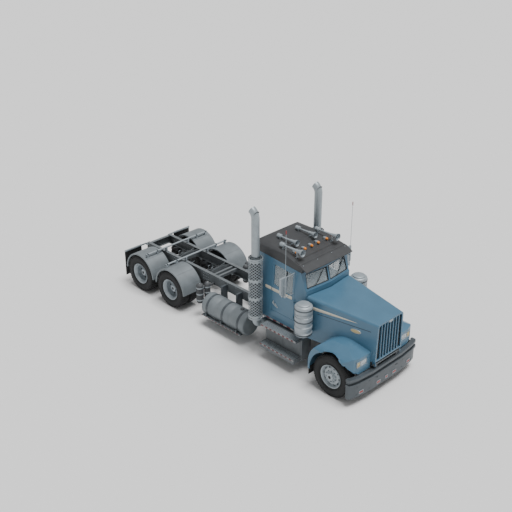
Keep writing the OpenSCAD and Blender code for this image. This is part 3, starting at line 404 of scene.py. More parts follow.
def tyre_profile(radius, half, bead=0.288, tread_depth=0.016):
    """Closed cross-section (radius, offset) of a tyre body, under its tread blocks."""
    crown = radius - tread_depth
    outer = [(crown - 0.012, -half * 0.80), (crown, -half * 0.5), (crown + 0.001, 0), (crown, half * 0.5),
             (crown - 0.012, half * 0.80)]
    right = [(crown - 0.045, half * 0.93), (radius * 0.84, half * 0.985), (radius * 0.77, half),
             (radius * 0.70, half * 0.97), (radius * 0.64, half * 0.90), (radius * 0.60, half * 0.80),
             (bead + 0.012, half * 0.76), (bead, half * 0.70)]
    left = [(r, -h) for r, h in reversed(right)]
    inside = [(bead + 0.02, half * 0.55), (bead + 0.02, -half * 0.55)]
    return left + outer + right + inside


def add_ribs(form, centre, radius, half, depth):
    """Five running ribs with a zig-zag edge, cut by grooves."""
    ribs = 5
    pitch = 2 * half * 0.80 / ribs
    count = 80
    for k in range(ribs):
        middle = -half * 0.80 + pitch * (k + 0.5)
        edge_rib = k in (0, ribs - 1)
        top = radius - (0.006 if edge_rib else 0.0)
        rows = []
        for n in range(count):
            t = 2 * math.pi * n / count
            shift = 0.004 * (1 if n % 2 else -1)
            a, b = middle - pitch * 0.40 + shift, middle + pitch * 0.40 + shift
            ring = [(top - depth - 0.004, a - 0.002), (top - 0.001, a), (top, a + 0.003), (top, b - 0.003),
                    (top - 0.001, b), (top - depth - 0.004, b + 0.002)]
            rows.append([centre + Vector((h, r * math.cos(t), r * math.sin(t))) for r, h in ring])
        form.quad_grid(rows, closed_u=True)


def add_lugs(form, centre, radius, half, depth, count=46):
    """Drive tread: four staggered rows of separate blocks."""
    for row, (a, b) in enumerate(((-0.86, -0.45), (-0.40, -0.03), (0.03, 0.40), (0.45, 0.86))):
        shoulder = row in (0, 3)
        for n in range(count):
            t0 = 2 * math.pi * (n + (0.5 if row % 2 else 0)) / count
            dt = 2 * math.pi / count * (0.36 if shoulder else 0.38)
            skew = 0.010 * (1 if row in (1, 2) else -1)
            top = []
            base = []
            for s, t in ((a, t0 - dt), (b, t0 - dt + skew), (b, t0 + dt + skew), (a, t0 + dt)):
                h = s * half
                drop = 0.016 * max(0, (abs(s) - 0.55)) / 0.31
                for r, store in ((radius - drop - 0.001, top), (radius - depth - 0.012 - drop, base)):
                    store.append(centre + Vector((h, r * math.cos(t), r * math.sin(t))))
            form.quad_grid([base, top], closed_v=True, caps=True)


TYRE_HALF = 0.14  # half width of one tyre


def add_shoulders(form, centre, count, offset, reach, drop, half_block):
    """Blocks along both edges of the tread."""
    for t in turns(count, offset):
        for sign in (-1, 1):
            turn = about_x(t)
            form.block(centre + turn @ Vector((sign * reach, drop, 0)), half_block, turn)


def make_tyre(node, tread):
    centre, radius, half_all, _ = wheel_frame(node)
    dual = half_all > 0.2
    half = TYRE_HALF
    places = (centre.x - half_all + half, centre.x + half_all - half) if dual else (centre.x,)
    form = Form()
    for x in places:
        c = Vector((x, centre.y, centre.z))
        form.lathe(tyre_profile(radius, half - 0.001), c, (1, 0, 0), 80, closed=True)
        for sign in (-1, 1):
            for r in (0.835, 0.66):
                ring = [(radius * r - 0.006, sign * half * 0.975), (radius * r, sign * (half * 0.99)),
                        (radius * r + 0.006, sign * half * 0.975)]
                form.lathe(ring, c, (1, 0, 0), 64)
        if tread == "rib":
            add_ribs(form, c, radius - 0.001, half, 0.015)
            add_shoulders(form, c, 60, 0, half * 0.865, radius - 0.034, (0.008, 0.013, 0.011))
        else:
            add_lugs(form, c, radius - 0.001, half, 0.016)
            add_shoulders(form, c, 46, 0.5, half * 0.875, radius - 0.045, (0.010, 0.020, 0.014))
    form.piece(node + "_tread", body_of_node[node], TYRE, "tyre", smooth=40, stands_for=(node,))


def rim_outline(half=0.125, bead=0.283):
    """Rim section (radius, height along the outward axis) from the inner lip to the outer one."""
    return [(bead + 0.012, -half), (bead + 0.014, -half + 0.012), (bead - 0.012, -half + 0.02),
            (bead - 0.03, -half * 0.4), (bead - 0.03, half * 0.4), (bead - 0.012, half - 0.02),
            (bead + 0.014, half - 0.012), (bead + 0.012, half), (bead - 0.002, half - 0.002),
            (bead - 0.022, half - 0.026), (bead - 0.04, half * 0.45)]


def make_rim(node, twin):
    centre, _, _, side = wheel_frame(node)
    out = Vector((side, 0, 0))
    tyre = node.replace("rims", "tyres").replace("rim", "tyre")
    t_lo, t_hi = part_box(tyre)
    half = TYRE_HALF
    outer_x = (t_hi.x - half) if side > 0 else (t_lo.x + half)
    tyre_centres = [Vector((outer_x, centre.y, centre.z))]
    if twin:
        tyre_centres.append(Vector((outer_x - side * (t_hi.x - t_lo.x - 2 * half), centre.y, centre.z)))
    form = Form()
    for c in tyre_centres:
        section = rim_outline()
        back = [(r - 0.008, h) for r, h in reversed(section[2:6])]
        form.lathe(section + [(0.236, 0.055), (0.232, 0.048)] + back, c, out, 64, closed=True)
    disc_c = tyre_centres[0]
    reach = abs(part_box(node)[1].x if side > 0 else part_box(node)[0].x) - abs(disc_c.x)
    if twin:
        # deep dish: the disc sits inside, against the second rim
        face = -0.115
        disc = [(0.246, 0.05), (0.238, -0.02), (0.226, -0.085), (0.212, face + 0.012), (0.200, face + 0.004),
                (0.165, face), (0.150, face + 0.004), (0.105, face + 0.006)]
    else:
        # the front disc bulges outwards
        face = reach - 0.075
        disc = [(0.248, 0.045), (0.238, face - 0.035), (0.222, face - 0.012), (0.205, face - 0.003),
                (0.165, face), (0.150, face + 0.004), (0.105, face + 0.006)]
    form.lathe(disc, disc_c, out, 64)
    form.lathe([(r, h - 0.012) for r, h in disc], disc_c, out, 48)
    hub_top = min(reach - 0.004, face + (0.14 if twin else 0.072))
    hub = [(0.118, face), (0.112, face + 0.02), (0.098, face + 0.028), (0.094, hub_top - 0.02),
           (0.084, hub_top - 0.006), (0.050, hub_top), (0, hub_top)]
    form.lathe(hub, disc_c, out, 40)
    for t in turns(10, 0.5):
        at = disc_c + out * (face + 0.003) + about_x(t) @ Vector((0, 0.143, 0))
        form.bolt(at, out, 0.017, 0.024)
        form.lathe([(0, 0.042), (0.007, 0.040), (0.008, 0.024)], at, out, 8)
    for t in turns(8):
        form.bolt(disc_c + out * (hub_top - 0.018) + about_x(t) @ Vector((0, 0.089, 0)), out, 0.009, 0.007)
    form.piece(node + "_metal", body_of_node[node], BRIGHT, "bright", smooth=35, stands_for=(node,))
    # painted shade: dark discs on the rim disc stand for the hand holes and the hub bore, where only shade
    # shows
    holes = Form()
    r_hole, h_hole = (0.222, -0.088) if twin else (0.226, face - 0.014)
    for t in turns(10):
        at = disc_c + out * h_hole + about_x(t) @ Vector((0, r_hole, 0))
        if twin:
            axis = (out * 0.55 - about_x(t) @ Vector((0, 0.83, 0))).normalized()
        else:
            axis = (out * 0.62 + about_x(t) @ Vector((0, 0.78, 0))).normalized()
        holes.lathe([(0, 0.0035), (0.018, 0.0035), (0.022, 0.002), (0.024, 0)], at, axis, 16)
    holes.lathe([(0.040, hub_top + 0.001), (0.038, hub_top + 0.0025), (0, hub_top + 0.003)], disc_c, out, 24)
    holes.piece(node + "_painted_hole_shade", body_of_node[node], MESH, "mesh", smooth=35)
    lid = Form()
    lid.lathe([(0.239, -0.128), (0.1, -0.134), (0, -0.134)], tyre_centres[-1], out, 32)
    lid.piece(node + "_drum", body_of_node[node], DARK, "chassis_dark", smooth=35)


def make_wheels():
    for side in ("left", "right"):
        make_tyre(f"front_tyre_{side}", "rib")
        make_rim(f"front_rim_{side}", False)
        for axle in (1, 2):
            make_tyre(f"drive_tyres_{side}_{axle}", "lug")
            make_rim(f"drive_rims_{side}_{axle}", True)

# ---------- front end ----------

def make_bumper():
    """Edge-worked bumper with light housings, bolts and tow eyes."""
    soften("bumper", "bumper_shell", STEEL, 0.008, 3)
    lo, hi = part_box("bumper")
    form, lens, bolts = Form(), Form(), Form()
    for x in (-0.89, -0.30, 0.0, 0.30, 0.89):
        half = 0.062 if x else 0.04
        hit = seen_from_front("bumper", x, lo.z + 0.105)
        wide = seen_from_front("bumper", x + 0.05, lo.z + 0.105)
        turn = Matrix.Rotation(math.atan2(wide.y - hit.y, 0.05), 3, "Z")
        out = turn @ Vector((0, -1, 0))
        for sz in (1, -1):
            form.block(hit + out * 0.004 + Vector((0, 0, sz * 0.034)), (half + 0.008, 0.006, 0.006), turn)
        for sx in (-1, 1):
            form.block(hit + out * 0.004 + turn @ Vector((sx * (half + 0.004), 0, 0)), (0.006, 0.006, 0.030),
                       turn)
        lens.block(hit + out * 0.002, (half - 0.002, 0.004, 0.027), turn)
    form.piece("bumper_lamp_frames", "chassis", BRIGHT, "bright", bevel=0.002)
    lens.piece("bumper_lamp_lenses", "chassis", RED, "frame_grey", bevel=0.003, segments=3)
    for x in (-1.02, -0.62, 0.62, 1.02):
        for z in (lo.z + 0.075, lo.z + 0.285):
            hit, wide = seen_from_front("bumper", x, z), seen_from_front("bumper", x + 0.05, z)
            bolts.bolt(hit, Vector((wide.y - hit.y, -0.05, 0)), 0.014, 0.008)
    bolts.piece("bumper_bolts", "chassis", STEEL, "frame_grey", smooth=30)
    tow = Form()
    for x in (-0.37, 0.37):
        hit = seen_from_front("bumper", x, hi.z - 0.3)
        ring = [(0.042, -0.001), (0.042, 0.008), (0.028, 0.012), (0.024, 0.004), (0, 0.004)]
        tow.lathe(ring, hit, (0, -1, 0), 28)
    tow.piece("tow_eye_rings", "chassis", STEEL, "frame_grey", smooth=35)


LAMP_Y, LAMP_Z = -3.68, 1.572  # centre of the oval lamp on the hood's side


def make_hood_lamp(side, tag):
    """Domed oval lens in a bright frame, following the hood's side."""
    lens, ring = Form(), Form()
    dome, rim_in, rim_out = [], [], []
    for t in turns(28):
        c, s = math.cos(t), math.sin(t)
        hit, wide, middle = [side_point("hood", LAMP_Y + a * c, LAMP_Z + b * s, side)
                             for a, b in ((0.122, 0.042), (0.136, 0.054), (0.07, 0.022))]
        rim_in.append(hit + Vector((side * 0.008, 0, 0)))
        rim_out.append(wide)
        dome.append([hit + Vector((side * 0.006, 0, 0)), middle + Vector((side * 0.013, 0, 0))])
    made = lens.quad_grid(dome, closed_u=True)
    tip = lens.bm.verts.new(side_point("hood", LAMP_Y, LAMP_Z, side) + Vector((side * 0.015, 0, 0)))
    for n in range(len(made)):
        lens.bm.faces.new((made[n][1], made[(n + 1) % len(made)][1], tip))
    lens.piece(f"hood_side_lamp_{tag}", "tilt_hood", PALE_AMBER, "body_blue", smooth=60)
    lift = Vector((side * 0.008, 0, 0))
    ring.quad_grid([[o, (o + i) / 2 + lift, i] for o, i in zip(rim_out, rim_in)], closed_u=True)
    ring.piece(f"hood_lamp_frame_{tag}", "tilt_hood", BRIGHT, "body_blue", smooth=60)


def make_hood():
    soften("hood", "hood_shell", BLUE, 0.010, 3)
    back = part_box("hood")[1].y
    for side in (-1, 1):
        tag = side_name(side)
        stripe = []
        for y in span(back - 0.012, -3.70, 40):
            t = (back - 0.012 - y) / (back - 0.012 + 3.70)
            middle = 1.772 + 0.018 * t
            half = 0.040 * (1 - max(0, t - 0.15) / 0.85) ** 0.8 + 0.0015
            stripe.append((y, middle - half, middle + half))
        decal(f"hood_stripe_{tag}", "hood", side, stripe, STRIPE, "body_blue", 0.0016)
        # painted shade: a thin black strip laid along the hood's crease stands for the shade in the fold
        crease = [(y, 1.669 + 0.018 * (-2.665 - y) / 1.42) for y in span(-2.665, -4.06, 32)]
        crease = [(y, z - 0.006, z + 0.006) for y, z in crease]
        decal(f"hood_crease_painted_shade_{tag}", "hood", side, crease, GASKET_AND_CREASE_SHADE, "body_blue", 0.0012)
        make_hood_lamp(side, tag)
        # rubber catch near the cowl
        at = side_point("hood", back - 0.085, 1.40, side)
        catch = Form()
        catch.box(at + Vector((-0.010, -0.030, -0.022)), at + Vector((0.012, 0.030, 0.022)))
        catch.tube([at + Vector((side * 0.016, -0.020, 0)), at + Vector((side * 0.020, 0.0, 0.02)),
                    at + Vector((side * 0.016, 0.024, 0.045))], 0.010, 10)
        catch.box(at + Vector((-0.006, 0.010, 0.030)), at + Vector((0.010, 0.055, 0.060)))
        catch.piece(f"hood_catch_{tag}", "tilt_hood", RUBBER, "rubber", bevel=0.003)


def make_grille():
    soften("grille", "grille_surround", BLUE, 0.006, 3)
    lo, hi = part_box("grille")
    # wire cloth behind the bars
    net = Form()
    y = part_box("grille_mesh")[0].y - 0.003
    for x in span(lo.x + 0.06, hi.x - 0.06, 33):
        net.box((x - 0.0022, y - 0.002, lo.z + 0.06), (x + 0.0022, y + 0.002, hi.z - 0.10))
    for z in span(lo.z + 0.06, hi.z - 0.10, 46):
        net.box((lo.x + 0.06, y - 0.003, z - 0.0022), (hi.x - 0.06, y + 0.001, z + 0.0022))
    net.piece("grille_wire", "tilt_hood", WIRE, "mesh")
    badge = Form()
    steps = ((0.074, 0.001, 0.030), (0.072, -0.004, 0.029), (0.062, -0.005, 0.022), (0.058, -0.002, 0.019),
             (0.001, -0.003, 0.001))
    badge.quad_grid([[Vector((w * math.cos(t), lo.y + y_off, hi.z - 0.05 + h * math.sin(t)))
                      for w, y_off, h in steps] for t in turns(32)], closed_u=True)
    badge.piece("grille_badge_blank", "tilt_hood", BRIGHT, "bright", smooth=40)
    bolts = Form()
    for x in (lo.x + 0.022, hi.x - 0.022):
        for z in span(lo.z + 0.10, hi.z - 0.16, 6):
            hit = seen_from_front("grille", x, z)
            if hit and hit.y < lo.y + 0.03:
                bolts.bolt(hit, (0, -1, 0), 0.008, 0.005)
    bolts.piece("grille_screws", "tilt_hood", BRIGHT, "bright", smooth=30)


def bowed(x0, x1, z0, z1, columns, rows, place):
    """Rows of points over a rectangle; place gives y from x and the bulge from 0 at the edges to 1."""
    out = []
    for z in span(z0, z1, rows):
        bulge_z = 1 - ((2 * z - z0 - z1) / (z1 - z0)) ** 2
        row = []
        for k, x in enumerate(span(x0, x1, columns)):
            bulge = (1 - ((2 * x - x0 - x1) / (x1 - x0)) ** 2) * bulge_z
            row.append(Vector((x, place(k, bulge), z)))
        out.append(row)
    return out


def make_headlights():
    """Reflector, fluted glass and turn signal side by side in one bright bezel."""
    lo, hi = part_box("headlights")
    inner_x, outer_x, split_x = 0.648, 0.988, 0.8656
    face = lo.y
    cz = (lo.z + hi.z) / 2
    for side in (-1, 1):
        tag = side_name(side)
        x0, x1 = sorted((side * inner_x, side * outer_x))
        lamp = sorted((side * inner_x, side * split_x))
        signal = sorted((side * split_x, side * outer_x))
        cx = (lamp[0] + lamp[1]) / 2
        hw, hh = (lamp[1] - lamp[0]) / 2 - 0.012, (hi.z - lo.z) / 2 - 0.012
        bucket, lens, rim, blinker = Form(), Form(), Form(), Form()
        bucket.box((x0 + 0.004, face + 0.040, lo.z + 0.004), (x1 - 0.004, hi.y, hi.z - 0.004))
        rows = []
        for depth, k in ((0.010, 1.0), (0.022, 0.86), (0.034, 0.60), (0.040, 0.25)):
            ring = []
            for t in turns(24):
                sx, sz = [math.copysign(abs(v) ** 0.35, v) for v in (math.cos(t), math.sin(t))]
                ring.append(Vector((cx + hw * k * sx, face + depth, cz + hh * k * sz)))
            rows.append(ring)
        bucket.quad_grid(rows, closed_v=True)
        ob = bucket.piece(f"headlight_bucket_{tag}", "tilt_hood", REFLECTOR, "bright", smooth=50)
        if side > 0:
            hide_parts("headlights")
        lens.quad_grid(bowed(cx - hw, cx + hw, cz - hh, cz + hh, 25, 7,
                             lambda k, bulge: face + 0.009 - 0.006 * bulge + 0.0012 * (1 if k % 2 else -1)))
        lens.piece(f"headlight_glass_{tag}", "tilt_hood", LENS, "glass", smooth=60, thick=0.003)
        blinker.quad_grid(bowed(signal[0] + 0.012, signal[1] - 0.012, lo.z + 0.014, hi.z - 0.014, 9, 6,
                                lambda k, bulge: face + 0.010 - 0.008 * bulge))
        blinker.piece(f"turn_signal_{tag}", "tilt_hood", PALE_AMBER, "amber", smooth=60, thick=0.004)
        for c0, c1 in (lamp, signal):
            a, b, c, d = c0 + 0.002, c1 - 0.002, lo.z + 0.002, hi.z - 0.002
            for xa, xb, za, zb in ((a, b, c, c + 0.010), (a, b, d - 0.010, d), (a, a + 0.010, c, d),
                                   (b - 0.010, b, c, d)):
                rim.slab(xa, xb, face + 0.0005, face + 0.030, za, zb)
        rim.piece(f"headlight_bezel_{tag}", "tilt_hood", BRIGHT, "bright", bevel=0.003)


def make_front_fenders():
    soften("front_fenders", "front_fender_shells", BLUE, 0.010, 3)
    c_lo, c_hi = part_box("front_tyre_left")
    cy, cz = (c_lo.y + c_hi.y) / 2 + 0.005, (c_lo.z + c_hi.z) / 2
    lips, screws = Form(), Form()
    for side in (-1, 1):
        pts = []
        for t in [math.radians(a) for a in span(4, 168, 56)]:
            for r in (0.622, 0.635, 0.65, 0.665, 0.68):
                hit = side_point("front_fenders", cy + math.cos(t) * r, cz + math.sin(t) * r, side)
                if hit and abs(hit.x) > 0.9:
                    pts.append(hit - Vector((side * 0.004, 0, 0)))
                    break
        lips.tube(pts, 0.009, 8)
    lips.piece("fender_edge_beads", "tilt_hood", BLUE, "body_blue", smooth=50)
    f_lo, f_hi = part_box("front_flaps")
    flap = Form()
    for side in (-1, 1):
        x0, x1 = sorted((side * f_hi.x, side * 0.88))
        rows = []
        for z in span(f_lo.z, f_hi.z, 8):
            rows.append([Vector((x, f_lo.y + 0.006 + 0.0035 * math.sin(k * 1.9), z))
                         for k, x in enumerate(span(x0, x1, 15))])
        flap.quad_grid(rows)
        flap.box((x0 + 0.004, f_lo.y, f_hi.z - 0.03), (x1 - 0.004, f_hi.y + 0.002, f_hi.z - 0.004))
        for x in span(x0 + 0.03, x1 - 0.03, 4):
            screws.bolt((x, f_hi.y + 0.0015, f_hi.z - 0.016), (0, 1, 0), 0.008, 0.006)
    flap.piece("front_flap_sheets", "tilt_hood", RUBBER, "rubber", smooth=60, thick=0.006,
               stands_for=("front_flaps",))
    screws.piece("front_flap_bolts", "tilt_hood", BRIGHT, "bright", smooth=30)

# ---------- cab ----------

def rounded(corners, radius, steps):
    """Closed outline with its corners rounded, and points added on long edges."""
    out = []
    n = len(corners)
    for k in range(n):
        a, b, c = Vector(corners[k - 1]), Vector(corners[k]), Vector(corners[(k + 1) % n])
        to_a, to_c = (a - b), (c - b)
        r = min(radius, to_a.length * 0.45, to_c.length * 0.45)
        p, q = b + to_a.normalized() * r, b + to_c.normalized() * r
        for j in range(steps + 1):
            t = j / steps
            out.append(p * (1 - t) ** 2 + b * 2 * t * (1 - t) + q * t ** 2)
        far = c - to_c.normalized() * min(radius, to_c.length * 0.45)
        gap = (far - q).length
        extra = int(gap / 0.08)
        for j in range(1, extra):
            out.append(q.lerp(far, j / extra))
    return [(v[0], v[1]) for v in out]


def make_cab():
    soften("cab_shell", "cab_body", BLUE, 0.007, 2)
    soften("cab_floor", "cab_floor_panel", BLUE, 0.006, 2)
    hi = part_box("cab_shell")[1]
    f_lo, f_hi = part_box("cab_floor")
    d_lo, d_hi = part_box("door_left")
    for side in (-1, 1):
        tag = side_name(side)
        decal(f"cab_stripe_{tag}", "cab_shell", side,
              [(y, 1.832, 1.912) for y in span(d_hi.y + 0.012, d_hi.y + 0.195, 7)] +
              [(d_hi.y + 0.215, 1.850, 1.892)], STRIPE, "body_blue", 0.0016)
        # reflective tape on the sill
        tape = Form()
        red = Form()
        tape_row(tape, red, side, f_hi.x + 0.0008, span(f_lo.y + 0.12, f_hi.y - 0.05, 15),
                 f_lo.z + 0.012, f_lo.z + 0.050, 0.0015)
        tape.piece(f"sill_tape_white_{tag}", "chassis", TAPE, "body_blue")
        red.piece(f"sill_tape_red_{tag}", "chassis", TAPE_RED, "body_blue")
        # hinges between cab and door front edge
        hinge = Form()
        for z in (1.46, 1.80):
            p = side_point("cab_shell", d_lo.y - 0.035, z, side)
            if p:
                hinge.tube([p + Vector((side * 0.006, 0.012, -0.035)),
                            p + Vector((side * 0.006, 0.012, 0.035))], 0.009, 12)
                hinge.box(p + Vector((-0.003, -0.030, -0.028)), p + Vector((0.004, 0.006, 0.028)))
        hinge.piece(f"door_hinges_{tag}", "chassis", BLUE, "body_blue", bevel=0.002)
    # rear wall ribs
    rear = Form()
    y = hi.y
    for x in (-0.62, -0.52, 0.52, 0.62):
        hit = cast("cab_shell", (x, y + 1, 1.7), (0, -1, 0))
        rear.prism([(x - 0.018, hit.y - 0.002), (x - 0.010, hit.y + 0.008), (x + 0.010, hit.y + 0.008),
                    (x + 0.018, hit.y - 0.002)],
                   "Z", 1.28, 2.46)
    rear.piece("rear_wall_ribs", "chassis", BLUE, "body_blue", smooth=40)
    screws = Form()
    for side in (-1, 1):
        for z in span(1.22, 2.46, 14):
            p = side_point("cab_shell", hi.y - 0.035, z, side)
            if p:
                screws.rivets([p], (side, 0, 0), 0.007)
        for yy in span(d_hi.y + 0.06, hi.y - 0.05, 8):
            p = side_point("cab_shell", yy, 1.155, side)
            if p:
                screws.rivets([p], (side, 0, 0), 0.007)
    screws.piece("cab_rivets", "chassis", BLUE, "body_blue", smooth=50)
    # bellows under the cab floor
    mount = Form()
    for x in (-0.385, 0.385):
        for y in (f_lo.y + 0.35, f_hi.y - 0.25):
            pts = [(0.052, 0)]
            for k in range(4):
                pts += [(0.060, 0.004 + k * 0.012), (0.047, 0.010 + k * 0.012)]
            mount.lathe([(r, h - 0.048) for r, h in pts], (x, y, f_lo.z), (0, 0, 1), 24)
    mount.piece("cab_mounts", "chassis", RUBBER, "rubber", smooth=45)


def make_doors():
    for side in (-1, 1):
        tag = side_name(side)
        node = f"door_{tag}"
        soften(node, f"{node}_skin", BLUE, 0.006, 2)
        lo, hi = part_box(node)
        g_lo, g_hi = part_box(f"door_glass_{tag}")
        decal(f"door_stripe_{tag}", node, side,
              [(y, 1.826, 1.906) for y in span(hi.y - 0.006, lo.y + 0.006, 12)], STRIPE, "body_blue", 0.0016)
        # handle set
        plate, lever = Form(), Form()
        p = side_point(node, -1.434, 1.481, side)
        if p:
            pts = rounded([(-1.352, 1.528), (-1.372, 1.572), (-1.528, 1.434), (-1.508, 1.390)], 0.02, 5)
            rows = []
            for y, z in pts:
                a = side_point(node, y, z, side, 0.0)
                rows.append([a] + [side_point(node, -1.440 + (y + 1.440) * k, 1.481 + (z - 1.481) * k, side,
                                              lift)
                                   for k, lift in ((0.86, 0.010), (0.70, 0.004), (0.1, 0.003))])
            plate.quad_grid(rows, closed_u=True)
            plate.piece(f"door_handle_plate_{tag}", body_of_node[node], BRIGHT, "body_blue", smooth=50)
            a = side_point(node, -1.385, 1.527, side, 0.012)
            b = side_point(node, -1.490, 1.438, side, 0.012)
            out = Vector((side * 0.014, 0, 0))
            lever.tube([a - out * 0.6, a + out * 0.6, a.lerp(b, 0.2) + out, a.lerp(b, 0.8) + out,
                        b + out * 0.6, b - out * 0.6], 0.009, 10)
            lever.piece(f"door_handle_lever_{tag}", body_of_node[node], BRIGHT, "body_blue", smooth=50)
            lock = Form()
            q = side_point(node, -1.40, 1.455, side, 0.001)
            lock.lathe([(0.013, 0), (0.013, 0.005), (0.009, 0.007), (0.004, 0.004), (0, 0.004)], q,
                       (side, 0, 0), 20)
            lock.piece(f"door_lock_{tag}", body_of_node[node], BRIGHT, "body_blue", smooth=40)
        # vent bar
        post = Form()
        y_bar = g_lo.y + 0.215
        a = cast(f"door_glass_{tag}", (side * 3, y_bar, g_lo.z + 0.06), (-side, 0, 0))
        b = cast(f"door_glass_{tag}", (side * 3, y_bar, g_hi.z - 0.05), (-side, 0, 0))
        if a and b:
            post.tube([a + Vector((side * 0.004, 0, -0.02)), b + Vector((side * 0.004, 0, 0.03))], 0.011, 8)
        post.piece(f"door_vent_bar_{tag}", body_of_node[node], GASKET_AND_CREASE_SHADE, "rubber", smooth=50)
        trim = Form()
        trim_x = side * 0.776
        trim.prism(rounded([(lo.y + 0.08, 1.36), (hi.y - 0.07, 1.36), (hi.y - 0.07, 1.86),
                            (lo.y + 0.08, 1.86)], 0.05, 5), "X",
                   min(trim_x, trim_x + side * 0.012), max(trim_x, trim_x + side * 0.012))
        trim.prism(rounded([(lo.y + 0.25, 1.62), (hi.y - 0.12, 1.62), (hi.y - 0.12, 1.68),
                            (lo.y + 0.25, 1.68)], 0.02, 4), "X",
                   min(trim_x, trim_x - side * 0.035), max(trim_x, trim_x - side * 0.035))
        trim.piece(f"door_inner_panel_{tag}", body_of_node[node], INTERIOR, "interior", bevel=0.004)


def make_glass():
    soften("cab_glass", "cab_windows", GLASS, 0.0015, 2)
    for tag in ("left", "right"):
        soften(f"door_glass_{tag}", f"door_window_{tag}", GLASS, 0.0015, 2)
    rubber = Form()
    for cx, half in ((0.376, 0.349), (-0.376, 0.349)):
        # follow the leaning, slightly turned front panes
        pts = []
        for x, z in rounded([(cx - half + 0.012, 2.180), (cx + half - 0.012, 2.180),
                             (cx + half - 0.012, 2.508), (cx - half + 0.012, 2.508)], 0.05, 6):
            hit = cast("cab_glass", (x, -4, z), (0, 1, 0))
            if hit:
                pts.append(hit + Vector((0, -0.004, 0)))
        if len(pts) > 8:
            rubber.tube(pts, 0.013, 8, closed=True)
    pts = []
    for x, z in rounded([(-0.44, 2.15), (0.44, 2.15), (0.44, 2.51), (-0.44, 2.51)], 0.05, 6):
        hit = cast("cab_glass", (x, 2, z), (0, -1, 0))
        if hit:
            pts.append(hit + Vector((0, 0.004, 0)))
    rubber.tube(pts, 0.013, 8, closed=True)
    rubber.piece("window_rubbers", "chassis", GASKET_AND_CREASE_SHADE, "rubber", smooth=60)
    wiper = Form()
    for cx in (0.376, -0.376):
        base = cast("cab_glass", (cx - 0.10, -4, 2.185), (0, 1, 0))
        top = cast("cab_glass", (cx + 0.18, -4, 2.43), (0, 1, 0))
        b0 = cast("cab_glass", (cx + 0.02, -4, 2.25), (0, 1, 0))
        b1 = cast("cab_glass", (cx + 0.26, -4, 2.49), (0, 1, 0))
        if base and top and b0 and b1:
            lift = Vector((0, -0.018, 0))
            wiper.tube([base + lift + Vector((0, 0, -0.05)), base + lift, base.lerp(top, 0.6) + lift * 1.2,
                        top + lift], 0.006, 8)
            wiper.tube([b0 + lift * 0.5, b0.lerp(b1, 0.5) + lift * 0.6, b1 + lift * 0.5], 0.006, 8)
            wiper.lathe([(0.02, 0), (0.018, 0.012), (0, 0.014)], base + Vector((0, -0.006, -0.05)),
                        (0, -1, 0), 16)
    wiper.piece("wipers", "chassis", RUBBER, "rubber", smooth=50)


def make_roof():
    soften("roof_cap", "roof_shell", BLACK, 0.012, 3)
    soften("sun_visor", "visor_shell", BLACK, 0.006, 2)
    lo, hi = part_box("sun_visor")
    # cover strip that closes the step between roof and visor
    cover = Form()
    rows = []
    for x in span(lo.x + 0.03, hi.x - 0.03, 41):
        row = []
        for y in span(hi.y - 0.035, hi.y + 0.16, 6):
            hit_roof = cast("roof_cap", (x, y, 4), (0, 0, -1))
            hit_visor = cast("sun_visor", (x, y, 4), (0, 0, -1))
            heights = [h.z for h in (hit_roof, hit_visor) if h]
            row.append(Vector((x, y, max(heights) if heights else hi.z)))
        low, high = row[0], row[-1]
        for k, p in enumerate(row):
            t = k / (len(row) - 1)
            p.z = max(p.z, low.z * (1 - t) + high.z * t) + 0.002
        rows.append(row)
    cover.quad_grid(rows)
    cover.piece("roof_edge_cover", "chassis", BLACK, "roof_black", smooth=40, thick=0.004)
    brace = Form()
    for x in (-0.74, -0.25, 0.25, 0.74):
        a = cast("sun_visor", (x, (lo.y + hi.y) / 2 + 0.05, 4), (0, 0, -1))
        if a:
            brace.bolt(a, (0, 0, 1), 0.010, 0.007)
    brace.piece("visor_screws", "chassis", BRIGHT, "bright", smooth=30)


def make_marker_lamps():
    lo_all, hi_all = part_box("marker_lights")
    bases, lenses = Form(), Form()
    for x in (-0.54, -0.237, 0.0, 0.237, 0.54):
        y0, y1 = lo_all.y, hi_all.y
        z_roof = cast("roof_cap", (x, (y0 + y1) / 2, 4), (0, 0, -1)).z
        r = 0.036
        zc = hi_all.z - r
        rows = []
        for t in span(0, 1, 12):
            y = y0 + 0.070 + (y1 - y0 - 0.070) * t
            k = math.sqrt(max(0.0, 1 - t ** 2.2)) * 0.98 + 0.02
            ring = []
            for n in range(20):
                a = 2 * math.pi * n / 20
                x_off, z_off = r * k * math.cos(a), r * k * math.sin(a)
                z_full = zc + z_off
                if math.sin(a) < 0:
                    z_full = zc + (z_roof - 0.002 - zc) * min(1, -math.sin(a) * 1.25) * (0.35 + 0.65 * k)
                ring.append(Vector((x + x_off, y, z_full)))
            rows.append(ring)
        bases.quad_grid(rows, closed_v=True, caps=True)
        bases.box((x - r - 0.004, y0 + 0.060, z_roof - 0.004), (x + r + 0.004, y1 - 0.006, z_roof + 0.006))
        bases.lathe([(r, -0.004), (r + 0.0015, 0.0), (r + 0.0015, 0.012), (r - 0.003, 0.014)],
                    (x, y0 + 0.070, zc), (0, -1, 0), 24)
        lenses.lathe([(r - 0.003, 0.008), (r - 0.003, 0.034), (r - 0.008, 0.056), (r - 0.018, 0.066),
                      (0, 0.070)], (x, y0 + 0.070, zc), (0, -1, 0), 24)
    bases.piece("roof_lamp_bodies", "chassis", BRIGHT, "amber", smooth=50, stands_for=("marker_lights",))
    lenses.piece("roof_lamp_lenses", "chassis", AMBER, "amber", smooth=50)


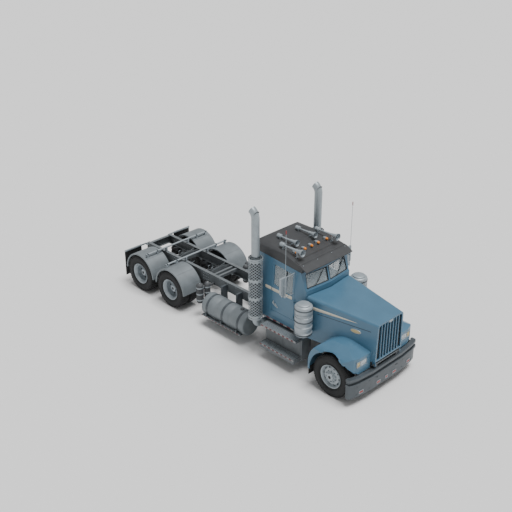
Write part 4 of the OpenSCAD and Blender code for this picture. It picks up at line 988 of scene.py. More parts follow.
def make_horns():
    """Long trumpets with a flared bell at the front and a round head at the back."""
    form, dark = Form(), Form()
    for side in (-1, 1):
        for x, y_bell, y_end, r_bell, z in ((0.62, -2.065, -1.339, 0.090, 2.988),
                                            (0.325, -1.609, -0.963, 0.080, 2.988)):
            c = Vector((side * x, y_bell, z))
            length = y_end - y_bell
            form.lathe([(r_bell - 0.004, 0.012), (r_bell, 0.0), (r_bell, 0.006), (r_bell * 0.86, 0.040),
                        (r_bell * 0.62, 0.090),
                        (r_bell * 0.44, 0.170), (r_bell * 0.32, 0.270), (0.020, length * 0.62),
                        (0.016, length - 0.13),
                        (0.030, length - 0.125), (0.052, length - 0.118), (0.056, length - 0.110),
                        (0.056, length - 0.092),
                        (0.050, length - 0.088), (0.050, length - 0.040), (0.056, length - 0.036),
                        (0.056, length - 0.014),
                        (0.046, length - 0.004), (0, length)], c, (0, 1, 0), 36)
            form.lathe([(r_bell - 0.004, 0.012), (r_bell * 0.82, 0.045), (r_bell * 0.56, 0.100),
                        (r_bell * 0.3, 0.20)], c, (0, 1, 0), 36)
            # painted shade: a dark disc deep in each bell stands for the shade in the horn's throat
            dark.lathe([(r_bell * 0.40, 0.150), (0, 0.152)], c, (0, 1, 0), 24)
            for y in (y_bell + 0.20, y_end - 0.09):
                hit = cast("roof_cap", (side * x, y, 4), (0, 0, -1))
                if hit:
                    r_here = 0.034 if y < y_end - 0.2 else 0.052
                    form.lathe([(r_here + 0.004, -0.012), (r_here + 0.004, 0.012), (r_here - 0.002, 0.014),
                                (r_here - 0.002, -0.014)],
                               (side * x, y, z), (0, 1, 0), 24, closed=True)
                    form.box((side * x - 0.012, y - 0.012, hit.z + 0.004),
                             (side * x + 0.012, y + 0.012, z - r_here + 0.004))
                    form.box((side * x - 0.040, y - 0.022, hit.z - 0.003),
                             (side * x + 0.040, y + 0.022, hit.z + 0.006))
                    for dx in (-0.028, 0.028):
                        form.bolt((side * x + dx, y, hit.z + 0.006), (0, 0, 1), 0.008, 0.006)
    form.piece("horn_trumpets", "chassis", BRIGHT, "bright", smooth=35, stands_for=("air_horns",))
    dark.piece("horn_throat_painted_shade", "chassis", DARK, "chassis_dark", smooth=35)


def make_mirrors():
    for side in (-1, 1):
        tag = side_name(side)
        node = f"mirror_{tag}"
        soften(node, f"{node}_housing", BRIGHT, 0.006, 2)
        tip = Form()
        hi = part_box(node)[1]
        mesh = nodes[node].data
        tops = [v.co for v in mesh.vertices if v.co.z > hi.z - 0.004]
        c = sum((Vector(v) for v in tops), Vector()) / len(tops)
        tip.lathe([(0.0045, -0.10), (0.011, -0.094), (0.012, -0.03), (0.009, -0.006), (0, 0.0)], c,
                  (0, 0, 1), 14)
        tip.piece(f"antenna_tip_{tag}", body_of_node[node], RED, "bright", smooth=50)

# ---------- air cleaners, stacks and tanks ----------

def make_cleaners():
    """Stepped canisters with bands, a lid and a rubber hose to the cowl."""
    lo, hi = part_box("air_cleaners")
    radius = 0.215
    zs = (1.120, 1.950)
    cx, cy = hi.x - 0.221, lo.y + 0.221
    form, bands, duct = Form(), Form(), Form()
    for side in (-1, 1):
        c = Vector((side * cx, cy, zs[0]))
        h = zs[1] - zs[0]
        profile = [(0, 0), (0.13, 0.0), (0.15, 0.006), (0.17, 0.02), (radius - 0.010, 0.05),
                   (radius - 0.002, 0.060), (radius, 0.070)]
        for z in (0.125, 0.290, 0.545):
            profile += [(radius, z), (radius - 0.012, z + 0.010), (radius - 0.012, z + 0.085),
                        (radius, z + 0.095)]
        profile += [(radius, h - 0.24), (radius - 0.004, h - 0.234), (radius - 0.004, h - 0.222),
                    (radius, h - 0.216),
                    (radius, h - 0.05), (radius - 0.006, h - 0.03), (radius - 0.03, h - 0.008),
                    (radius - 0.055, h), (0.0, h)]
        form.lathe(profile, c, (0, 0, 1), 56)
        form.lathe([(0.150, h - 0.001), (0.155, h + 0.006), (0.155, h + 0.020), (0.140, h + 0.030),
                    (0.05, h + 0.034), (0, h + 0.034)],
                   c, (0, 0, 1), 40)
        for z in (zs[0] + 0.070, (zs[0] + zs[1]) / 2, zs[1] - 0.110):
            bands.lathe([(radius + 0.001, 0), (radius + 0.006, 0.003), (radius + 0.0035, 0.010),
                         (radius + 0.0035, 0.030),
                         (radius + 0.006, 0.037), (radius + 0.001, 0.040)], (side * cx, cy, z), (0, 0, 1), 56)
            for dy in (-0.016, 0.016):
                bands.box((side * (cx - radius) - 0.012 if side > 0 else side * (cx - radius) - 0.010,
                           cy + dy - 0.004, z + 0.004),
                          (side * (cx - radius) + 0.010 if side > 0 else side * (cx - radius) + 0.012,
                           cy + dy + 0.004, z + 0.036))
            bands.tube([(side * (cx - radius + 0.002), cy - 0.03, z + 0.02),
                        (side * (cx - radius + 0.002), cy + 0.03, z + 0.02)], 0.005, 8)
        a = Vector((side * (cx - 0.04), cy + 0.110, zs[0] + 0.170))
        goal = Vector((side * 0.70, cy + 0.185, zs[0] + 0.170))
        direction = (goal - a).normalized()
        start = a + direction * 0.10
        for k in range(7):
            p = start + direction * (0.022 * k)
            duct.lathe([(0.062, -0.010), (0.068, -0.004), (0.068, 0.004), (0.062, 0.010)], p, direction, 28)
        duct.lathe([(0.063, 0), (0.063, 0.36)], a, direction, 28)
        for z in (zs[0] + 0.400, zs[1] - 0.090):
            p = Vector((side * cx, cy, z))
            q = Vector((side * (cx - 0.24), cy + 0.13, z))
            bands.tube([p.lerp(q, 0.55), q], 0.014, 10)
    form.piece("cleaner_cans", "chassis", BRIGHT, "bright", smooth=35, stands_for=("air_cleaners",))
    bands.piece("cleaner_bands", "chassis", STEEL, "bright", smooth=35)
    duct.piece("cleaner_ducts", "chassis", RUBBER, "rubber", smooth=40)


PIPE_RADIUS, SHIELD_RADIUS = 0.100, 0.1735
TANK_RADIUS = 0.310


def make_stacks():
    p_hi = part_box("exhaust_stacks")[1]
    pipe = PIPE_RADIUS
    lo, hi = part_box("heat_shields")
    cx = hi.x - 0.175
    cy = (lo.y + hi.y) / 2
    R = SHIELD_RADIUS
    z0, z1 = lo.z, hi.z
    clamps = Form()
    for side in (-1, 1):
        tag = side_name(side)
        skin = Form()
        # perforated sheet: a lattice of strips around staggered diamond openings,
        # each opening being scale of its cell
        columns, rows_n, scale = 24, 44, 0.80
        bm = skin.bm

        def at(u, z):
            t = 2 * math.pi * u / columns
            return (side * cx + R * math.cos(t), cy + R * math.sin(t), z)

        pitch = (z1 - z0 - 0.004) / rows_n
        knots = {}

        def knot(i, j):
            key = (i % columns, j)
            if key not in knots:
                knots[key] = bm.verts.new(at(key[0], z0 + 0.002 + pitch * min(rows_n, max(0, j))))
            return knots[key]

        belts = span(z0 + 0.08, z1 - 0.08, 4)
        for i in range(columns):
            for j in range(1, rows_n):
                if (i + j) % 2:
                    continue
                zc = z0 + 0.002 + pitch * j
                outer = [knot(i, j - 1), knot(i + 1, j), knot(i, j + 1), knot(i - 1, j)]
                if any(abs(zc - b) < 0.030 for b in belts):
                    bm.faces.new(outer)
                    continue
                dz = pitch * scale
                hole = [bm.verts.new(p) for p in (at(i, zc - dz), at(i + scale, zc), at(i, zc + dz),
                                                  at(i - scale, zc))]
                for k in range(4):
                    bm.faces.new((outer[k], outer[(k + 1) % 4], hole[(k + 1) % 4], hole[k]))
        ob = skin.piece(f"stack_shield_{tag}", "chassis", BRIGHT, "bright", smooth=40, thick=0.003)
        if side > 0:
            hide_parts("heat_shields")
        rings = Form()
        for z in [z0 + 0.001] + belts + [z1 - 0.036]:
            rings.lathe([(R - 0.004, 0.0), (R + 0.0045, 0.0015), (R + 0.0055, 0.010), (R + 0.0055, 0.026),
                         (R + 0.0045, 0.0335), (R - 0.004, 0.035)], (side * cx, cy, z), (0, 0, 1), 56)
            for t in turns(4, 0.35):
                p = Vector((side * cx + (R + 0.004) * math.cos(t), cy + (R + 0.004) * math.sin(t), z + 0.018))
                rings.bolt(p, (math.cos(t), math.sin(t), 0), 0.007, 0.004)
        rings.piece(f"shield_rings_{tag}", "chassis", CHROME, "bright", smooth=35)
        for z in (z0 - 0.03, z1 + 0.03):
            pipe_r = PIPE_RADIUS + 0.0015
            clamps.lathe([(pipe_r, 0), (pipe_r + 0.004, 0.002), (pipe_r + 0.004, 0.028), (pipe_r, 0.030)],
                         (side * cx, cy, z - 0.015), (0, 0, 1), 32)
            clamps.box((side * cx - 0.012, cy - pipe_r - 0.020, z - 0.012),
                       (side * cx + 0.012, cy - pipe_r + 0.002, z + 0.012))
        # pipe from the elbow under the cab to the turned-back mouth
        bend, turn = 0.22, 62
        top_z = p_hi.z - (bend + pipe + 0.002) * math.sin(math.radians(turn)) - 0.002
        line = [(side * 0.47, cy, z0 - 0.22), (side * (cx - 0.17), cy, z0 - 0.22)]
        line += [(side * (cx - 0.17 + 0.16 * math.sin(a)), cy, z0 - 0.06 - 0.16 * math.cos(a)) for a in
                 [math.radians(t) for t in span(10, 84, 8)]]
        line += [(side * cx, cy, z) for z in (z0 - 0.05, z0 + 0.02)]
        up = [(side * cx, cy, z) for z in span(z0 - 0.02, top_z, 8)]
        for a in [math.radians(t) for t in span(5, turn, 12)]:
            up.append((side * cx, cy + bend * (1 - math.cos(a)), top_z + bend * math.sin(a)))
        pipes = Form()
        pipes.tube(line, 0.085, 28, up=(0, 1, 0))
        pipes.tube(up, pipe, 40, caps=False, up=(0, 1, 0))
        pipes.tube(up[-6:], pipe - 0.005, 40, caps=False, up=(0, 1, 0))
        pipes.tube([up[1], up[2]], 0.080, 24)
        end, last = Vector(up[-1]), Vector(up[-2])
        pipes.lathe([(pipe - 0.006, -0.004), (pipe - 0.003, 0.003), (pipe + 0.001, 0.0),
                     (pipe + 0.001, -0.01)], end, end - last, 40)
        for z in (1.200, 2.450):
            pipes.tube([(side * (cx - 0.06), cy, z), (side * 0.885 if z < 2 else side * 0.86, cy, z)], 0.015,
                       12)
        ob = pipes.piece(f"stack_pipe_{tag}", "chassis", CHROME, "bright", smooth=40)
        if side > 0:
            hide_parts("exhaust_stacks")
        drum = Form()
        drum.lathe([(0.101, 0.03), (0.122, 0.05), (0.125, 0.065), (0.125, z1 - z0 - 0.075),
                    (0.122, z1 - z0 - 0.06), (0.101, z1 - z0 - 0.04)],
                   (side * cx, cy, z0), (0, 0, 1), 40)
        drum.piece(f"stack_muffler_{tag}", "chassis", MUFFLER, "chassis_dark", smooth=40)
        # painted shade: a dark disc inside the pipe stands for the shade down the stack's mouth
        inner = Form()
        inner.lathe([(pipe - 0.006, -0.16), (0, -0.16)], end, end - last, 24)
        inner.piece(f"stack_mouth_painted_shade_{tag}", "chassis", MESH, "mesh")
    clamps.piece("stack_clamps", "chassis", STEEL, "bright", smooth=35)


def make_tanks():
    lo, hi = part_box("fuel_tanks")
    R = TANK_RADIUS
    cx = hi.x - R
    cz = lo.z + R
    y0, y1 = lo.y, hi.y
    length = y1 - y0
    form, straps, treads, tapes, reds, pads = Form(), Form(), Form(), Form(), Form(), Form()
    strap_ys = [y0 + f * length for f in (0.14, 0.5, 0.86)]
    for side in (-1, 1):
        c = Vector((side * cx, y0, cz))
        head = [(0, 0.004), (0.12, 0.004), (0.135, 0.010), (R - 0.06, 0.016), (R - 0.045, 0.012),
                (R - 0.018, 0.020), (R - 0.004, 0.036), (R, 0.055)]
        seams = [(R - dip, length * part / 3 + h) for part in (1, 2)
                 for dip, h in ((0, 0), (0.0025, 0.004), (0, 0.008))]
        form.lathe(head + seams + [(r, length - h) for r, h in reversed(head)], c, (0, 1, 0), 72)
        for y in strap_ys:
            for dy in (-0.026, 0.0, 0.026):
                straps.lathe([(R + 0.001, -0.009), (R + 0.006, -0.008), (R + 0.006, 0.008),
                              (R + 0.001, 0.009)], (side * cx, y + dy, cz),
                             (0, 1, 0), 56)
            p = Vector((side * (cx + 0.10), y, cz + math.sqrt(R * R - 0.01)))
            straps.tube([p + Vector((0, 0, 0.004)), p + Vector((side * 0.05, 0, -0.014))], 0.008, 8)
            pads.lathe([(R + 0.0005, -0.034), (R + 0.0025, -0.033), (R + 0.0025, 0.033),
                        (R + 0.0005, 0.034)], (side * cx, y, cz), (0, 1, 0), 56)
        # filler neck and cap
        f = Vector((side * cx, y0 + 0.330, cz + R - 0.008))
        form.lathe([(0.062, 0.0), (0.058, 0.014), (0.050, 0.018)], f, (0, 0, 1), 32)
        cap = Form()
        cap.lathe([(0.051, 0.012), (0.052, 0.020), (0.052, 0.036), (0.048, 0.041), (0.016, 0.042),
                   (0, 0.042)], f, (0, 0, 1), 32)
        for t in turns(12):
            turn = Matrix.Rotation(t, 3, "Z")
            p = f + turn @ Vector((0.0515, 0, 0.028))
            cap.box(p - Vector((0.003, 0.004, 0.007)), p + Vector((0.002, 0.004, 0.007)), turn, p)
        cap.piece(f"tank_cap_{side_name(side)}", "chassis", DARK, "chassis_dark", smooth=35)
        # drain
        form.lathe([(0.020, 0), (0.020, -0.010), (0.012, -0.016), (0, -0.016)],
                   (side * cx, y0 + 0.5, cz - R + 0.004), (0, 0, 1), 16)
        # step tread along the tank
        xb = cx + R + 0.038
        z = cz - 0.190
        ya, yb = y0 + 0.062, y1 - 0.062
        for n in range(44):
            y = ya + (yb - ya) * (n + 0.5) / 44
            x_in = cx + 0.262
            treads.slab(side * x_in, side * xb, y - 0.006, y + 0.006, z - 0.0005, z + 0.004)
        tape_row(tapes, reds, side, cx + R + 0.040, span(ya, yb, 23), z - 0.014, z - 0.001)
    form.piece("tank_shells", "chassis", FENDER_GREY, "fender_grey", smooth=35, stands_for=("fuel_tanks",))
    straps.piece("tank_strap_bands", "chassis", STEEL, "bright", smooth=35)
    pads.piece("tank_strap_pads", "chassis", RUBBER, "rubber", smooth=35)
    treads.piece("tank_step_treads", "chassis", FENDER_GREY, "bright", bevel=0.001)
    tapes.piece("tank_tape_white", "chassis", TAPE, "body_blue")
    reds.piece("tank_tape_red", "chassis", TAPE_RED, "body_blue")
    soften("tank_straps", "tank_brackets", STEEL, 0.0025, 2)


def make_steps():
    soften("cab_steps", "step_boxes", FRAME_GREY, 0.006, 2)
    lo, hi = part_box("cab_steps")
    y0, y1 = lo.y, hi.y
    for side in (-1, 1):
        tag = side_name(side)
        form, tape, red, door = Form(), Form(), Form(), Form()
        # raised bars on the deck and on the tread
        for x in span(0.965, 1.135, 5):
            form.slab(side * (x - 0.008), side * (x + 0.008), y0 + 0.04, y1 - 0.04, 0.951, 0.958)
        for x in span(0.985, 1.165, 5):
            form.slab(side * (x - 0.008), side * (x + 0.008), y0 + 0.06, y1 - 0.06, 0.439, 0.446)
        for n in range(26):
            y = y0 + 0.07 + (y1 - y0 - 0.14) * n / 25
            form.slab(side * 0.97, side * 1.185, y - 0.004, y + 0.004, 0.439, 0.4435)
            form.slab(side * 0.955, side * 1.145, y - 0.004, y + 0.004, 0.951, 0.9555)
        form.piece(f"step_treads_{tag}", "chassis", BRIGHT, "frame_grey", bevel=0.0015)
        ys = span(y0 + 0.04, y1 - 0.04, 17)
        for x, za, zb in ((1.200, 0.408, 0.434), (1.150, 0.908, 0.940)):
            tape_row(tape, red, side, x, ys, za, zb)
        tape.piece(f"step_tape_white_{tag}", "chassis", TAPE, "body_blue")
        red.piece(f"step_tape_red_{tag}", "chassis", TAPE_RED, "body_blue")
        # box doors with piano hinges and latches
        middle = (y0 + y1) / 2
        for a, b in ((y0 + 0.05, middle - 0.015), (middle + 0.015, y1 - 0.05)):
            pts = rounded([(a, 0.50), (b, 0.50), (b, 0.86), (a, 0.86)], 0.025, 4)
            door.prism(pts, "X", min(side * 0.9495, side * 0.957), max(side * 0.9495, side * 0.957))
            door.tube([(side * 0.957, a + 0.03, 0.868), (side * 0.957, b - 0.03, 0.868)], 0.005, 8)
            door.lathe([(0.026, 0), (0.026, 0.003), (0.018, 0.006), (0.006, 0.006), (0, 0.006)],
                       (side * 0.957, (a + b) / 2, 0.56), (side, 0, 0), 20)
        door.piece(f"step_box_doors_{tag}", "chassis", FRAME_GREY, "frame_grey", bevel=0.0025)

# ---------- chassis ----------

def make_frame():
    soften("frame_rails", "rails", FRAME_GREY, 0.004, 2)
    soften("crossmembers", "cross_members", FRAME_GREY, 0.005, 2)
    soften("pivot_member", "front_member", FRAME_GREY, 0.006, 2)
    soften("radiator", "radiator_tank", DARK, 0.006, 2)
    soften("front_axle", "front_beam", DARK, 0.010, 3)
    lo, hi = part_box("frame_rails")
    bolts = Form()
    for side in (-1, 1):
        x = side * hi.x
        for y in (1.55, 1.68, 2.30, 2.86, 2.975, 3.61, 4.14):
            for dz in (0.055, 0.135, 0.215):
                for dy in (-0.03, 0.03):
                    bolts.bolt((x, y + dy, lo.z + dz), (side, 0, 0), 0.011, 0.009)
        for y in span(-0.50, 1.05, 6):
            bolts.bolt((x, y, hi.z - 0.035), (side, 0, 0), 0.010, 0.008)
            bolts.bolt((x, y, lo.z + 0.035), (side, 0, 0), 0.010, 0.008)
        for y in span(1.45, 4.10, 16):
            hit = cast("frame_rails", (side * (hi.x - 0.04), y, 3), (0, 0, -1))
            if hit:
                bolts.rivets([hit], (0, 0, 1), 0.009)
    bolts.piece("frame_bolts", "chassis", BRIGHT, "bright", smooth=30)


def make_running_gear():
    soften("suspension", "spring_packs", DARK, 0.003, 2)
    soften("drive_axles", "drive_axle_housings", DARK, 0.010, 2)
    for tag in ("left", "right"):
        soften(f"knuckle_{tag}", f"knuckle_{tag}_forging", DARK, 0.006, 2)
    soften("tie_rod", "tie_rod_bar", DARK, 0.004, 2)
    gear = Form()
    shocks = Form()
    clips = Form()
    f_axle_y = -3.5
    for side in (-1, 1):
        # U-bolts over the front springs
        for dy in (-0.055, 0.055):
            y = f_axle_y + dy
            pts = [(side * 0.335, y, 0.50), (side * 0.335, y, 0.72), (side * 0.345, y, 0.735),
                   (side * 0.425, y, 0.735),
                   (side * 0.435, y, 0.72), (side * 0.435, y, 0.50)]
            clips.tube(pts, 0.009, 8)
        for cy in (2.255, 3.565):
            # air springs: stacked rubber bellows between rail bracket and axle
            profile = [(0, 0.0), (0.10, 0.0), (0.102, 0.02)]
            for k in range(2):
                z = 0.03 + k * 0.10
                profile += [(0.110, z), (0.133, z + 0.022), (0.140, z + 0.045), (0.133, z + 0.068),
                            (0.110, z + 0.090)]
            profile += [(0.102, 0.235), (0.10, 0.25), (0, 0.25)]
            gear.lathe(profile, (side * 0.36, cy + 0.30, 0.53), (0, 0, 1), 32)
            shocks.tube([(side * 0.30, cy - 0.16, 0.46), (side * 0.30, cy - 0.30, 0.78)], 0.030, 16)
            shocks.tube([(side * 0.30, cy - 0.20, 0.54), (side * 0.30, cy - 0.33, 0.86)], 0.020, 16)
            for dy in (-0.07, 0.07):
                y = cy + dy
                clips.tube([(side * 0.28, y, 0.47), (side * 0.28, y, 0.69), (side * 0.29, y, 0.705),
                            (side * 0.44, y, 0.705),
                            (side * 0.45, y, 0.69), (side * 0.45, y, 0.47)], 0.010, 8)
            # brake chambers on the axle
            c = Vector((side * 0.40, cy - 0.13, 0.46))
            shocks.lathe([(0, 0), (0.07, 0.0), (0.08, 0.012), (0.08, 0.05), (0.084, 0.056),
                          (0.084, 0.068), (0.08, 0.074),
                          (0.078, 0.12), (0.06, 0.15), (0, 0.155)], c, (0, -1, 0.25), 28)
    gear.piece("air_springs", "chassis", RUBBER, "rubber", smooth=50)
    shocks.piece("shock_absorbers", "chassis", DARK, "chassis_dark", smooth=40)
    clips.piece("spring_clips", "chassis", BRIGHT, "chassis_dark", smooth=50)
    shaft = Form()
    for y in (1.93, 2.58, 3.24):
        shaft.lathe([(0.062, -0.03), (0.074, -0.02), (0.074, 0.02), (0.062, 0.03)], (0, y, 0.60), (0, 1, 0),
                    24)
        for n in range(4):
            t = 2 * math.pi * (n + 0.5) / 4
            shaft.bolt((0.058 * math.cos(t), y + 0.020, 0.60 + 0.058 * math.sin(t)), (0, 1, 0), 0.008, 0.007)
    shaft.piece("shaft_joints", "chassis", STEEL, "chassis_dark", smooth=35)


def make_engine():
    soften("engine", "engine_block", ENGINE, 0.012, 2)
    lo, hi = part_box("engine")
    form, pipes, bright = Form(), Form(), Form()
    # rocker cover with ribs, seen when the hood is tilted
    top = []
    for k, y in enumerate(span(lo.y + 0.45, hi.y - 0.45, 7)):
        hit = cast("engine", (0, y, 4), (0, 0, -1))
        if hit:
            top.append(hit)
            form.box((-0.13, y - 0.075, hit.z - 0.01), (0.13, y + 0.075, hit.z + 0.035))
            for dx in (-0.105, 0.105):
                bright.bolt((dx, y, hit.z + 0.035), (0, 0, 1), 0.010, 0.009)
    form.piece("engine_covers", "chassis", ENGINE, "chassis_dark", bevel=0.012, segments=3)
    fan = Form()
    rad_lo, rad_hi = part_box("radiator")
    c = Vector((0, rad_hi.y + 0.045, 1.36))
    for n in range(8):
        t = 2 * math.pi * n / 8
        turn = Matrix.Rotation(t, 3, "Y")
        blade = []
        for r in (0.07, 0.16, 0.27):
            width = 0.05 + 0.05 * r
            blade.append([c + turn @ Vector((-width, -0.018, r)), c + turn @ Vector((0, 0, r + 0.01)),
                          c + turn @ Vector((width, 0.018, r))])
        fan.quad_grid(blade)
    fan.lathe([(0, -0.03), (0.07, -0.03), (0.075, -0.02), (0.075, 0.02), (0.05, 0.035), (0, 0.035)], c,
              (0, 1, 0), 28)
    fan.piece("engine_fan", "chassis", DARK, "chassis_dark", smooth=40, thick=0.004)
    for side, z0, z1 in ((-1, 1.62, 1.50), (1, 1.20, 1.05)):
        pipes.tube([(side * 0.26, rad_hi.y - 0.01, z0), (side * 0.27, rad_hi.y + 0.10, z0),
                    (side * 0.22, rad_hi.y + 0.26, (z0 + z1) / 2),
                    (side * 0.16, rad_hi.y + 0.42, z1)], 0.034, 14)
    pipes.tube([(-0.30, rad_hi.y + 0.5, 1.30), (-0.33, rad_hi.y + 0.8, 1.42), (-0.33, rad_hi.y + 1.3, 1.44),
                (-0.30, rad_hi.y + 1.6, 1.30)], 0.03, 12)
    pipes.piece("coolant_pipes", "chassis", RUBBER, "rubber", smooth=50)
    bright.piece("engine_bolts", "chassis", BRIGHT, "bright", smooth=30)
    core = Form()
    for x in span(rad_lo.x + 0.03, rad_hi.x - 0.03, 60):
        core.box((x - 0.0015, rad_lo.y - 0.004, rad_lo.z + 0.08),
                 (x + 0.0015, rad_lo.y + 0.002, rad_hi.z - 0.08))
    core.piece("radiator_fins", "chassis", STEEL, "chassis_dark")


def make_drive_fenders():
    soften("drive_fenders", "drive_fender_skins", FENDER_GREY, 0.004, 2)
    soften("fender_brackets", "fender_tubes", BRIGHT, 0.003, 2)
    x_in, x_out = 0.555, 1.205
    edge, clamps = Form(), Form()
    for side in (-1, 1):
        for cy in (2.255, 3.565):
            pts = []
            for t in span(4, 176, 44):
                y, z = cy + 0.601 * math.cos(math.radians(t)), 0.535 + 0.601 * math.sin(math.radians(t))
                pts.append(Vector((0, y, z)))
            for x in (x_in + 0.006, x_out - 0.006):
                edge.tube([p + Vector((side * x, 0, -0.004)) for p in pts], 0.008, 8)
            # stiffening beads pressed across the sheet
            for t in (28, 62, 118, 152):
                a = math.radians(t)
                p = Vector((0, cy + 0.6005 * math.cos(a), 0.535 + 0.6005 * math.sin(a)))
                edge.tube([p + Vector((side * (x_in + 0.02), 0, 0)),
                           p + Vector((side * (x_out - 0.02), 0, 0))], 0.006, 8)
            for dx in (0.725, 1.065):
                y_tube = cy + (0.23 if cy < 3 else -0.23)
                clamps.lathe([(0.026, -0.024), (0.031, -0.020), (0.031, 0.020), (0.026, 0.024)],
                             (side * dx, y_tube, 1.175), (1, 0, 0), 20)
                for dy in (-0.022, 0.022):
                    clamps.bolt((side * dx, y_tube + dy, 1.178), (0, 0, 1), 0.008, 0.03)
        for cy in (2.255, 3.565):
            y_tube = cy + (0.23 if cy < 3 else -0.23)
            clamps.lathe([(0.0255, 0.0), (0.0255, 0.004), (0.018, 0.008), (0, 0.008)],
                         (side * 1.12, y_tube, 1.175), (side, 0, 0), 20)
    edge.piece("drive_fender_edges", "chassis", FENDER_GREY, "fender_grey", smooth=50)
    clamps.piece("fender_clamps", "chassis", STEEL, "bright", smooth=35)


def make_tail():
    lo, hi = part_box("mud_flaps")
    flap, bolts, lamps, frames = Form(), Form(), Form(), Form()
    for side in (-1, 1):
        rows = []
        for z in span(lo.z, hi.z, 16):
            sway = 0.002 * math.cos((z - lo.z) * 5)
            rows.append([Vector((side * x, lo.y + 0.009 + sway + 0.003 * math.sin(k * 1.7),
                                 z)) for k, x in enumerate(span(0.60, 1.20, 21))])
        flap.quad_grid(rows)
        for z in (lo.z + 0.09, lo.z + 0.12, lo.z + 0.15):
            flap.slab(side * 0.64, side * 1.16, hi.y - 0.006, hi.y - 0.001, z - 0.005, z + 0.005)
        bolts.slab(side * 0.61, side * 1.19, hi.y - 0.005, hi.y, hi.z - 0.05, hi.z - 0.012)
        for x in span(0.65, 1.15, 5):
            bolts.bolt((side * x, hi.y, hi.z - 0.031), (0, 1, 0), 0.010, 0.0)
    flap.piece("rear_flap_sheets", "chassis", RUBBER, "rubber", smooth=60, thick=0.007,
               stands_for=("mud_flaps",))
    bolts.piece("rear_flap_bars", "chassis", BRIGHT, "bright", bevel=0.001)
    for side in (-1, 1):
        for k, x in enumerate((0.19, 0.31)):
            at = Vector((side * x, 4.185, 0.935))
            frames.lathe([(0.052, 0), (0.052, 0.010), (0.046, 0.014), (0.046, 0.006), (0, 0.006)], at,
                         (0, 1, 0), 32)
            lamps.lathe([(0.045, 0.006), (0.044, 0.016), (0.034, 0.022), (0, 0.024)], at, (0, 1, 0), 32)
    frames.box((-0.075, 4.184, 0.88), (0.075, 4.192, 0.99))
    frames.piece("tail_lamp_cups", "chassis", DARK, "chassis_dark", smooth=35)
    lamps.piece("tail_lamps", "chassis", RED, "frame_grey", smooth=50)


def make_air_tanks():
    lo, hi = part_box("air_tanks")
    form, band = Form(), Form()
    for side in (-1, 1):
        for x, y, r, z0, z1 in ((0.900, hi.y - 0.10, 0.100, 0.380, 0.980),
                                (0.715, lo.y + 0.085, 0.085, 0.420, 0.980)):
            h = z1 - z0
            c = Vector((side * x, y, z0))
            form.lathe([(0, 0), (r * 0.5, 0.008), (r * 0.85, 0.030), (r - 0.001, 0.062), (r, 0.066),
                        (r, h - 0.066), (r - 0.001, h - 0.062),
                        (r * 0.85, h - 0.030), (r * 0.5, h - 0.008), (0, h)], c, (0, 0, 1), 40)
            for dz in (0.12, h / 2, h - 0.12):
                band.lathe([(r + 0.0005, -0.016), (r + 0.004, -0.014), (r + 0.004, 0.014),
                            (r + 0.0005, 0.016)], c + Vector((0, 0, dz)), (0, 0, 1), 40)
            band.lathe([(0.014, 0), (0.014, 0.006), (0.008, 0.008), (0, 0.008)],
                       c + Vector((0, 0, h - 0.008)), (0, 0, 1), 12)
        form.slab(side * 0.43, side * 1.0, lo.y + 0.105, lo.y + 0.165, 0.80, 0.84)
    form.piece("air_tank_shells", "chassis", DARK, "fender_grey", smooth=40, stands_for=("air_tanks",))
    band.piece("air_tank_bands", "chassis", BRIGHT, "bright", smooth=40)


# ---------- inside the cab ----------

def cushion(name, lo, hi, turn=0.0, centre=None, puff=1.0):
    """Stuffed cushion that a cloth simulation blows up, stitched and creased by a quilt pattern."""
    mesh = bpy.data.meshes.new(name)
    bm = bmesh.new()
    bmesh.ops.create_cube(bm, size=1.0)
    for v in bm.verts:
        v.co = Vector([(l + h) / 2 + c * (h - l) * 0.94 for c, l, h in zip(v.co, lo, hi)])
    bmesh.ops.bevel(bm, geom=bm.edges[:], offset=min(h - l for l, h in zip(lo, hi)) * 0.28, segments=3,
                    affect="EDGES", profile=0.6)
    bm.to_mesh(mesh)
    bm.free()
    ob = bpy.data.objects.new(name, mesh)
    bpy.context.collection.objects.link(ob)
    bpy.context.view_layer.objects.active = ob
    remesh = ob.modifiers.new("remesh", "REMESH")
    remesh.mode = "VOXEL"
    remesh.voxel_size = 0.0085
    apply_all(ob)
    before = [v.co.copy() for v in ob.data.vertices]
    pins = ob.vertex_groups.new(name="seams")
    # seams: three lines across the top
    for v in ob.data.vertices:
        u = (v.co.x - lo[0]) / (hi[0] - lo[0])
        w = (v.co.y - lo[1]) / (hi[1] - lo[1])
        t = (v.co.z - lo[2]) / (hi[2] - lo[2])
        long_axis = w if (hi[1] - lo[1]) > (hi[2] - lo[2]) else t
        if min(abs(long_axis - k) for k in (0.25, 0.5, 0.75)) < 0.012 and 0.10 < u < 0.90:
            pins.add([v.index], 1.0, "REPLACE")
    cloth = ob.modifiers.new("cloth", "CLOTH")
    cloth.settings.quality = 5
    cloth.settings.mass = 0.3
    cloth.settings.use_pressure = True
    cloth.settings.uniform_pressure_force = 4.0 * puff
    cloth.settings.vertex_group_mass = "seams"
    cloth.settings.effector_weights.gravity = 0
    cloth.collision_settings.use_collision = False
    cloth.point_cache.frame_start = 1
    cloth.point_cache.frame_end = 20
    scene = bpy.context.scene
    for f in range(1, 21):
        scene.frame_set(f)
    apply_all(ob)
    scene.frame_set(1)
    for v, was in zip(ob.data.vertices, before):
        moved = v.co - was
        if moved.length > 0.022:
            v.co = was + moved.normalized() * 0.022
        for a in range(3):
            v.co[a] = min(hi[a] + 0.008, max(lo[a] - 0.008, v.co[a]))
    if turn:
        m = Matrix.Translation(centre) @ Matrix.Rotation(turn, 4, "X") @ Matrix.Translation(-Vector(centre))
        ob.data.transform(m)
    ob.data.materials.clear()
    ob.data.materials.append(CLOTH)
    ob.data.shade_smooth()
    sub = ob.modifiers.new("smoothness", "SUBSURF")
    sub.levels = 1
    sub.render_levels = sub.levels
    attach(ob, "chassis")
    return ob


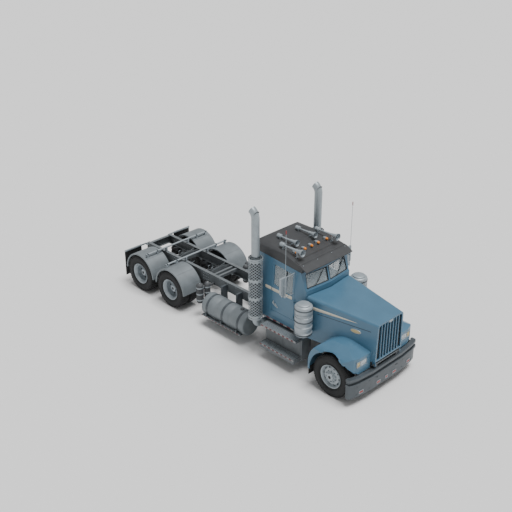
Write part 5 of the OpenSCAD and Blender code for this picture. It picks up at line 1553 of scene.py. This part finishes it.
def apply_all(ob):
    graph = bpy.context.evaluated_depsgraph_get()
    made = bpy.data.meshes.new_from_object(ob.evaluated_get(graph))
    ob.modifiers.clear()
    ob.data = made


def make_seats():
    first = True
    for side in (-1, 1):
        tag = side_name(side)
        x = side * 0.430
        y = -2.415 + 0.940
        floor = 1.115
        base = cushion(f"seat_cushion_{tag}", (x - 0.250, y - 0.215, floor + 0.300),
                       (x + 0.250, y + 0.285, floor + 0.425))
        pivot = Vector((x, y + 0.290, floor + 0.380))
        cushion(f"seat_back_{tag}", (x - 0.245, y + 0.295, floor + 0.400),
                       (x + 0.245, y + 0.405, floor + 1.095),
                       turn=math.radians(-12), centre=pivot)
        if first:
            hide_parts("seats")
            first = False
        stand = Form()
        profile = [(0.14, 0)]
        for k in range(5):
            profile += [(0.165, 0.03 + k * 0.045), (0.145, 0.052 + k * 0.045)]
        profile += [(0.15, 0.27)]
        stand.lathe(profile, (x, y + 0.06, floor), (0, 0, 1), 32)
        stand.piece(f"seat_bellows_{tag}", "chassis", RUBBER, "rubber", smooth=50)
        pan = Form()
        pan.box((x - 0.21, y - 0.15, floor + 0.262), (x + 0.21, y + 0.26, floor + 0.302))
        pan.box((x - 0.20, y - 0.12, floor), (x - 0.15, y + 0.24, floor + 0.02))
        pan.box((x + 0.15, y - 0.12, floor), (x + 0.20, y + 0.24, floor + 0.02))
        for dx in (-0.235, 0.235):
            pan.tube([(x + dx, y + 0.20, floor + 0.30), (x + dx, y + 0.31, floor + 0.40),
                      (x + dx, y + 0.37, floor + 0.62)], 0.012, 8)
        pan.piece(f"seat_frame_{tag}", "chassis", DARK, "chassis_dark", bevel=0.003)


def make_dash():
    soften("dashboard", "dash_shell", INTERIOR, 0.012, 3)
    dials, faces = Form(), Form()
    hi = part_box("dashboard")[1]
    for k in range(5):
        x = 0.22 + 0.11 * k
        hit = cast("dashboard", (x, hi.y + 1, 1.99), (0, -1, 0))
        if hit:
            dials.lathe([(0.046, 0), (0.046, 0.008), (0.040, 0.011), (0.040, 0.004)], hit, (0, 1, 0.2), 28)
            faces.lathe([(0.040, 0.004), (0, 0.004)], hit, (0, 1, 0.2), 28)
            faces.box(hit + Vector((-0.002, 0.005, 0)), hit + Vector((0.002, 0.007, 0.03)))
    for k in range(6):
        x = -0.30 + 0.08 * k
        hit = cast("dashboard", (x, hi.y + 1, 1.92), (0, -1, 0))
        if hit:
            dials.box(hit + Vector((-0.022, -0.004, -0.02)), hit + Vector((0.022, 0.008, 0.02)))
    dials.piece("dash_controls", "chassis", DARK, "interior", bevel=0.002)
    faces.piece("dash_dial_faces", "chassis", DIAL, "interior", smooth=40)
    soften("steering_wheel", "wheel_rim", INTERIOR, 0.004, 2)
    lever = Form()
    lever.tube([(0.02, -1.72, 1.115), (0.02, -1.70, 1.35), (0.05, -1.64, 1.52), (0.05, -1.62, 1.60)], 0.012,
               10)
    lever.lathe([(0, 0), (0.022, 0.006), (0.030, 0.03), (0.022, 0.055), (0, 0.062)], (0.05, -1.62, 1.59),
                (0, 0.1, 1), 20)
    lever.lathe([(0.075, 0), (0.070, 0.02), (0.045, 0.045), (0.02, 0.07)], (0.02, -1.72, 1.113), (0, 0, 1),
                24)
    lever.piece("gear_lever", "chassis", DARK, "interior", smooth=50)


make_camera()
make_studio()
finish_frame()
make_wheels()
make_bumper()
make_hood()
make_grille()
make_headlights()
make_front_fenders()
make_cab()
make_doors()
make_glass()
make_roof()
make_marker_lamps()
make_horns()
make_mirrors()
make_cleaners()
make_stacks()
make_tanks()
make_steps()
make_frame()
make_running_gear()
make_engine()
make_drive_fenders()
make_tail()
make_air_tanks()
make_seats()
make_dash()
